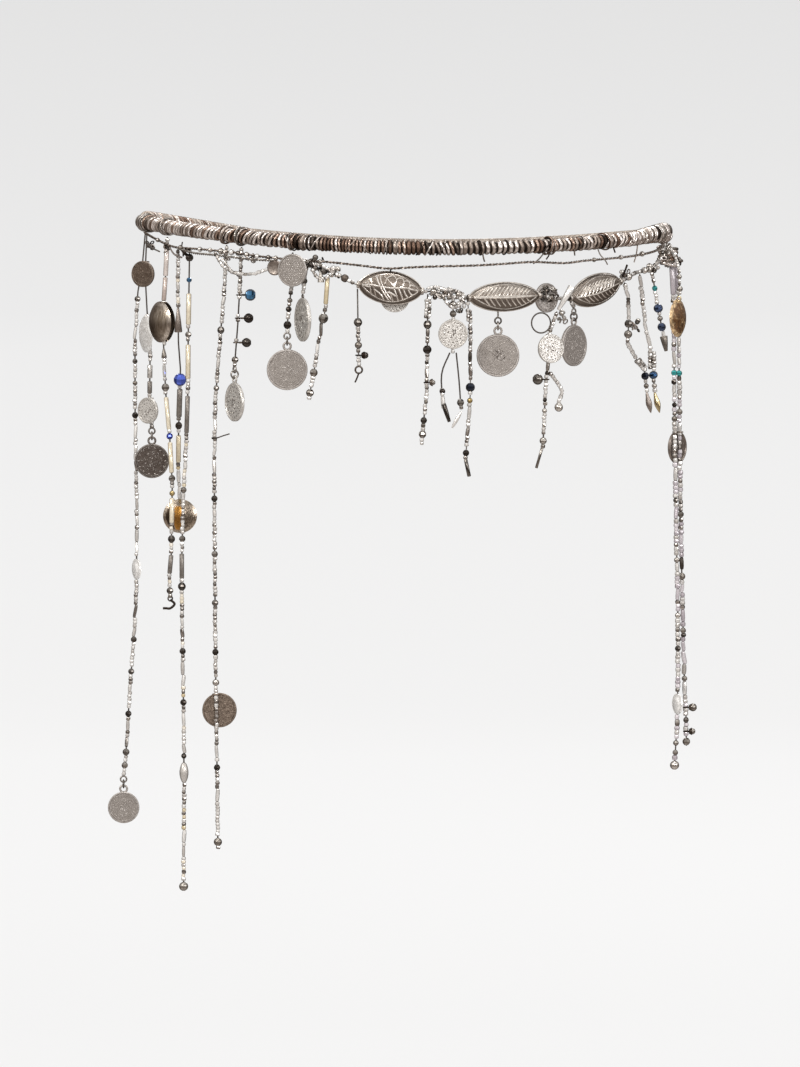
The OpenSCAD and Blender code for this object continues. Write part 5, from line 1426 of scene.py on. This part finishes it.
# Columns: place across, diameter, finish
garlandBeads = [
    (-28.2, 2.2, "castSilver"), (-25.2, 2.5, "gunmetal"), (-22.6, 2, "castSilver"),
    (-18.6, 2.6, "brownMetal"), (9.5, 2.4, "castSilver"), (13.6, 2, "castSilver"),
    (17.4, 2.2, "castSilver"), (47.2, 2.4, "castSilver"), (72.6, 2.4, "castSilver"),
    (78.3, 2.2, "castSilver"), (80, 2.4, "castSilver"),
]
strands = [  # short strands wound beside it, and two loops that hang down
    [(7.2, -102, -16), (10, -102.4, -15.4), (13, -102.2, -16.2), (16.4, -101.4, -16.6), (19.2, -99.8, -18)],
    [(8, -101.4, -17.6), (12, -102, -18), (15.4, -101.6, -18.4), (19, -100, -19.4)],
    [(12, -102.4, -17.4), (13.4, -102.6, -20), (15.6, -102.2, -22), (17.8, -101.2, -21),
     (19.4, -99.8, -18.8)],
    [(-30.6, -96.6, -8), (-27, -98, -8.4), (-23.4, -99.4, -10), (-20, -100.4, -12)],
    [(-29, -97.4, -9.4), (-27.4, -98.4, -12.4), (-24.6, -99.4, -12.6), (-22.6, -99.8, -10.6)],
]
garland = {"loop": (43.7, -87.9, -27), "loopR": 3.2, "loopTurn": 18, "cone": (-26.2, -98.4, -12.4),
           "button": (-41, -89.6, -9.4), "buttonTurn": -24,
           "buttonProfile": [(-0.45, 1), (-0.45, 2.3), (-0.3, 2.5), (0.3, 2.5), (0.45, 2.3), (0.45, 2),
                             (0.3, 1.8), (0.3, 0.5)]}
# Tangles of wire and small beads between the leaf beads. Columns: middle, size, loops, beads
garlandKnots = [
    ((-28.4, -96.8, -8.6), (8, 3, 5), 12, 8), ((-22, -99.2, -10.8), (4, 2.4, 3), 6, 5),
    ((12.6, -101.2, -17.4), (7, 2.4, 3), 9, 6), ((18, -99.8, -21), (2.4, 2, 6), 6, 3),
    ((46.6, -86.8, -17.6), (6, 2.6, 5), 9, 5), ((50.6, -83.4, -24.6), (3, 2.4, 6), 6, 3),
    ((72, -58.6, -11.6), (3.4, 3, 2.2), 5, 3), ((81.4, -36, -10.4), (3.4, 6, 2.6), 6, 5),
]
route = inMetres(garlandPoints)
far = distances(route)
spans = takenBy([("ball", x, d, 0) for x, d, finish in garlandBeads], route, far, 0)
for leaf in leaves:
    spans.append(tuple(distanceAt(route, far, leafTip(leaf, side, 0.7)[0] * mm, 0) for side in (-1, 1)))
seeds = seedsAlong(route, spans, "pale", 1.35, 1.15, 0)
for points in strands:
    seeds += seedsAlong([p * mm for p in rounded(points, 4)], [], "grey", 1.15, 0.95, 0)
joined("garlandSeeds", seeds, instead=["garland_string"])
parts = []
for x, d, finish in garlandBeads:
    spot, direction = acrossPoint(garlandPoints, x)
    pattern = cutPattern if finish == "gunmetal" else ballPattern
    parts.append(copyOf(pattern, at(spot) @ aim(direction) @ grow(d), finish))
place = move(*garland["loop"]) @ faceFront(garland["loopTurn"])
parts.append(used(ring(garland["loopR"], bail["wire"], 30, 8), place, "greyWire", 0.1))
place = move(*garland["button"]) @ faceFront(garland["buttonTurn"])
parts.append(used(turned(garland["buttonProfile"], 24), place, "brownMetal"))
parts.append(used(coneOf(0.9, 3.2, 2), move(*garland["cone"]), "castSilver"))
for centre, size, count, beads in garlandKnots:
    parts += knotAt(centre, size, count, beads)
joined("garlandBeads", parts, instead=["garland_beads"])

coinRight = {"across": 44.4, "d": 9.4, "turn": 40, "aside": (3.1, -0.7, -2), "r": 1.48}
spot, direction = acrossPoint(garlandPoints, coinRight["across"])
place = at(spot) @ faceFront(coinRight["turn"]) @ move(*coinRight["aside"])
parts = coinParts(coinRight["d"], place, "coinSilver", "strokes")
parts.append(bailOn(spot, direction, "greyWire", coinRight["r"]))
joined("coinBehindRight", parts, instead=["coin_behind_right"])
print("garland")

for pattern in (seedPattern, ballPattern, cutPattern, glassPattern, dotPattern):
    bpy.data.objects.remove(pattern)


# Studio: a pale round sweep, soft lights and the camera at the photograph's angle

# "glow" is the strength of the paper's painted glow
studio = {"floor": -360, "middle": 900, "glow": 2.5, "far": 6000,
          "sweep": [(0, 3400), (50, 4300), (260, 5000), (760, 5600), (1600, 5950), (2800, 6100),
                    (4600, 6100)],
          # grey of the paper and of its painted glow, by distance from the middle as a share of the farthest
          "paper": [(0.05, "#868686"), (0.14, "#868686"), (0.22, "#888888"), (0.35, "#8B8B8B"),
                    (0.72, "#8A8A8A"), (0.81, "#888888"), (0.875, "#848484"), (0.91, "#828282"),
                    (0.94, "#7F7F7F")]}


def withStops(ramp, stops):  # sets a ramp's colours
    first, *others = stops
    for element in list(ramp.color_ramp.elements)[1:]:
        ramp.color_ramp.elements.remove(element)
    ramp.color_ramp.elements[0].position = first[0]
    ramp.color_ramp.elements[0].color = linear(first[1])
    for position, colour in others:
        ramp.color_ramp.elements.new(position).color = linear(colour)
    return ramp.outputs[0]


startFresh()
bpy.ops.mesh.primitive_circle_add(vertices=96, radius=studio["middle"] * mm, fill_type="NGON",
                                  location=(0, 0, studio["floor"] * mm))
bpy.ops.object.mode_set(mode="EDIT")
drawOut([(0, studio["middle"])] + studio["sweep"], studio["floor"])
bpy.ops.mesh.delete(type="ONLY_FACE")
bpy.ops.mesh.select_all(action="SELECT")
bpy.ops.mesh.normals_make_consistent(inside=True)
bpy.ops.object.mode_set(mode="OBJECT")
bpy.ops.object.shade_smooth()
sweep = settle(bpy.context.object)
sweep.name = sweep.data.name = "paperSweep"
paper = bpy.data.materials.new("paintedGlowPaper")  # studio paper with a painted glow: it gives off its own grey and is matt
paper.use_nodes = True
paper.node_tree.nodes.clear()
spot = addNode(paper.node_tree, "ShaderNodeTexCoord").outputs["Object"]
away = addNode(paper.node_tree, "ShaderNodeVectorMath", {0: spot}, operation="LENGTH").outputs["Value"]
away = addNode(paper.node_tree, "ShaderNodeMapRange", {
    "Value": away, "From Max": studio["far"] * mm}).outputs[0]
tone = withStops(addNode(paper.node_tree, "ShaderNodeValToRGB", {0: away}), studio["paper"])
cover = addNode(paper.node_tree, "ShaderNodeBsdfPrincipled", {
    "Base Color": tone, "Roughness": 0.95, "Specular IOR Level": 0.1, "Emission Color": tone,
    "Emission Strength": studio["glow"]})
addNode(paper.node_tree, "ShaderNodeOutputMaterial", {"Surface": cover.outputs[0]})
sweep.data.materials.append(paper)
sweep.visible_glossy = False  # the metal mirrors the soft sky, not the paper

aimAt = Vector((-1.17, 0, -98.7)) * mm
lights = {  # place in metres, width, height, power, colour
    "keyLeft": ((-1.2, -1.4, 1.1), 0.5, 0.5, 15, "#FFFDF8"),
    "top": ((0.1, -0.3, 1.6), 0.6, 0.4, 8, "#FFFFFF"),
    "fillRight": ((1.6, -1.2, 0.4), 0.4, 0.8, 8, "#FBFCFF"),
    "front": ((0.35, -2.6, 0.75), 0.5, 0.5, 14, "#FFFFFF"),
    "back": ((0.5, 1.6, 0.9), 0.6, 0.4, 6, "#FFFFFF"),
}
for name, (place, width, height, power, colour) in lights.items():
    lamp = bpy.data.objects.new(name, bpy.data.lights.new(name, "AREA"))
    lamp.data.shape = "RECTANGLE"
    lamp.data.size, lamp.data.size_y = width, height
    lamp.data.energy = power
    lamp.data.color = linear(colour)[:3]
    lamp.location = place
    lamp.rotation_euler = (aimAt - Vector(place)).to_track_quat("-Z", "Y").to_euler()
    lamp.visible_camera = False
    bpy.context.scene.collection.objects.link(lamp)

# A white studio, pale in front, with darker cloths behind and below, as polished metal mirrors it.
# Columns: which way, its colours from -1 to 1
skyLook = {
    "Z": [(0, "#DAD5D2"), (0.28, "#BDB5B0"), (0.4, "#7A7069"), (0.45, "#6A6059"), (0.5, "#B9B3AE"),
          (0.57, "#DEDCDA"), (0.7, "#F6F6F7"), (1, "#FFFFFF")],
    "Y": [(0, "#F4F2F0"), (0.1, "#CFCAC6"), (0.3, "#FFFFFF"), (0.5, "#E8E6E4"), (0.75, "#8E8883"),
          (1, "#7A746F")]}
skyStrength = 1.35
sky = bpy.data.worlds.new("softSky")
sky.use_nodes = True
sky.node_tree.nodes.clear()
direction = addNode(sky.node_tree, "ShaderNodeTexCoord").outputs["Generated"]
bands = []
for axis, stops in skyLook.items():
    value = addNode(sky.node_tree, "ShaderNodeSeparateXYZ", {0: direction}).outputs[axis]
    share = addNode(sky.node_tree, "ShaderNodeMapRange", {
        "Value": value, "From Min": -1, "From Max": 1}).outputs[0]
    bands.append(withStops(addNode(sky.node_tree, "ShaderNodeValToRGB", {0: share}), stops))
mixed = addNode(sky.node_tree, "ShaderNodeMix", {
    "Factor": 1, 6: bands[0], 7: bands[1]}, data_type="RGBA", blend_type="MULTIPLY").outputs[2]
glow = addNode(sky.node_tree, "ShaderNodeBackground", {"Color": mixed, "Strength": skyStrength})
addNode(sky.node_tree, "ShaderNodeOutputWorld", {"Surface": glow.outputs[0]})
bpy.context.scene.world = sky
bpy.context.scene.view_settings.view_transform = "Standard"

view = {"distance": 2, "elevation": 3, "lens": 202.4}
camera = bpy.data.objects.new("camera", bpy.data.cameras.new("camera"))
camera.data.lens = view["lens"]
camera.data.sensor_width = 36
camera.data.clip_end = 50
lift = math.radians(view["elevation"])
camera.location = aimAt + Vector((0, -math.cos(lift), math.sin(lift))) * view["distance"]
camera.rotation_euler = (aimAt - camera.location).to_track_quat("-Z", "Y").to_euler()
bpy.context.scene.collection.objects.link(camera)
bpy.context.scene.camera = camera
print("studio")
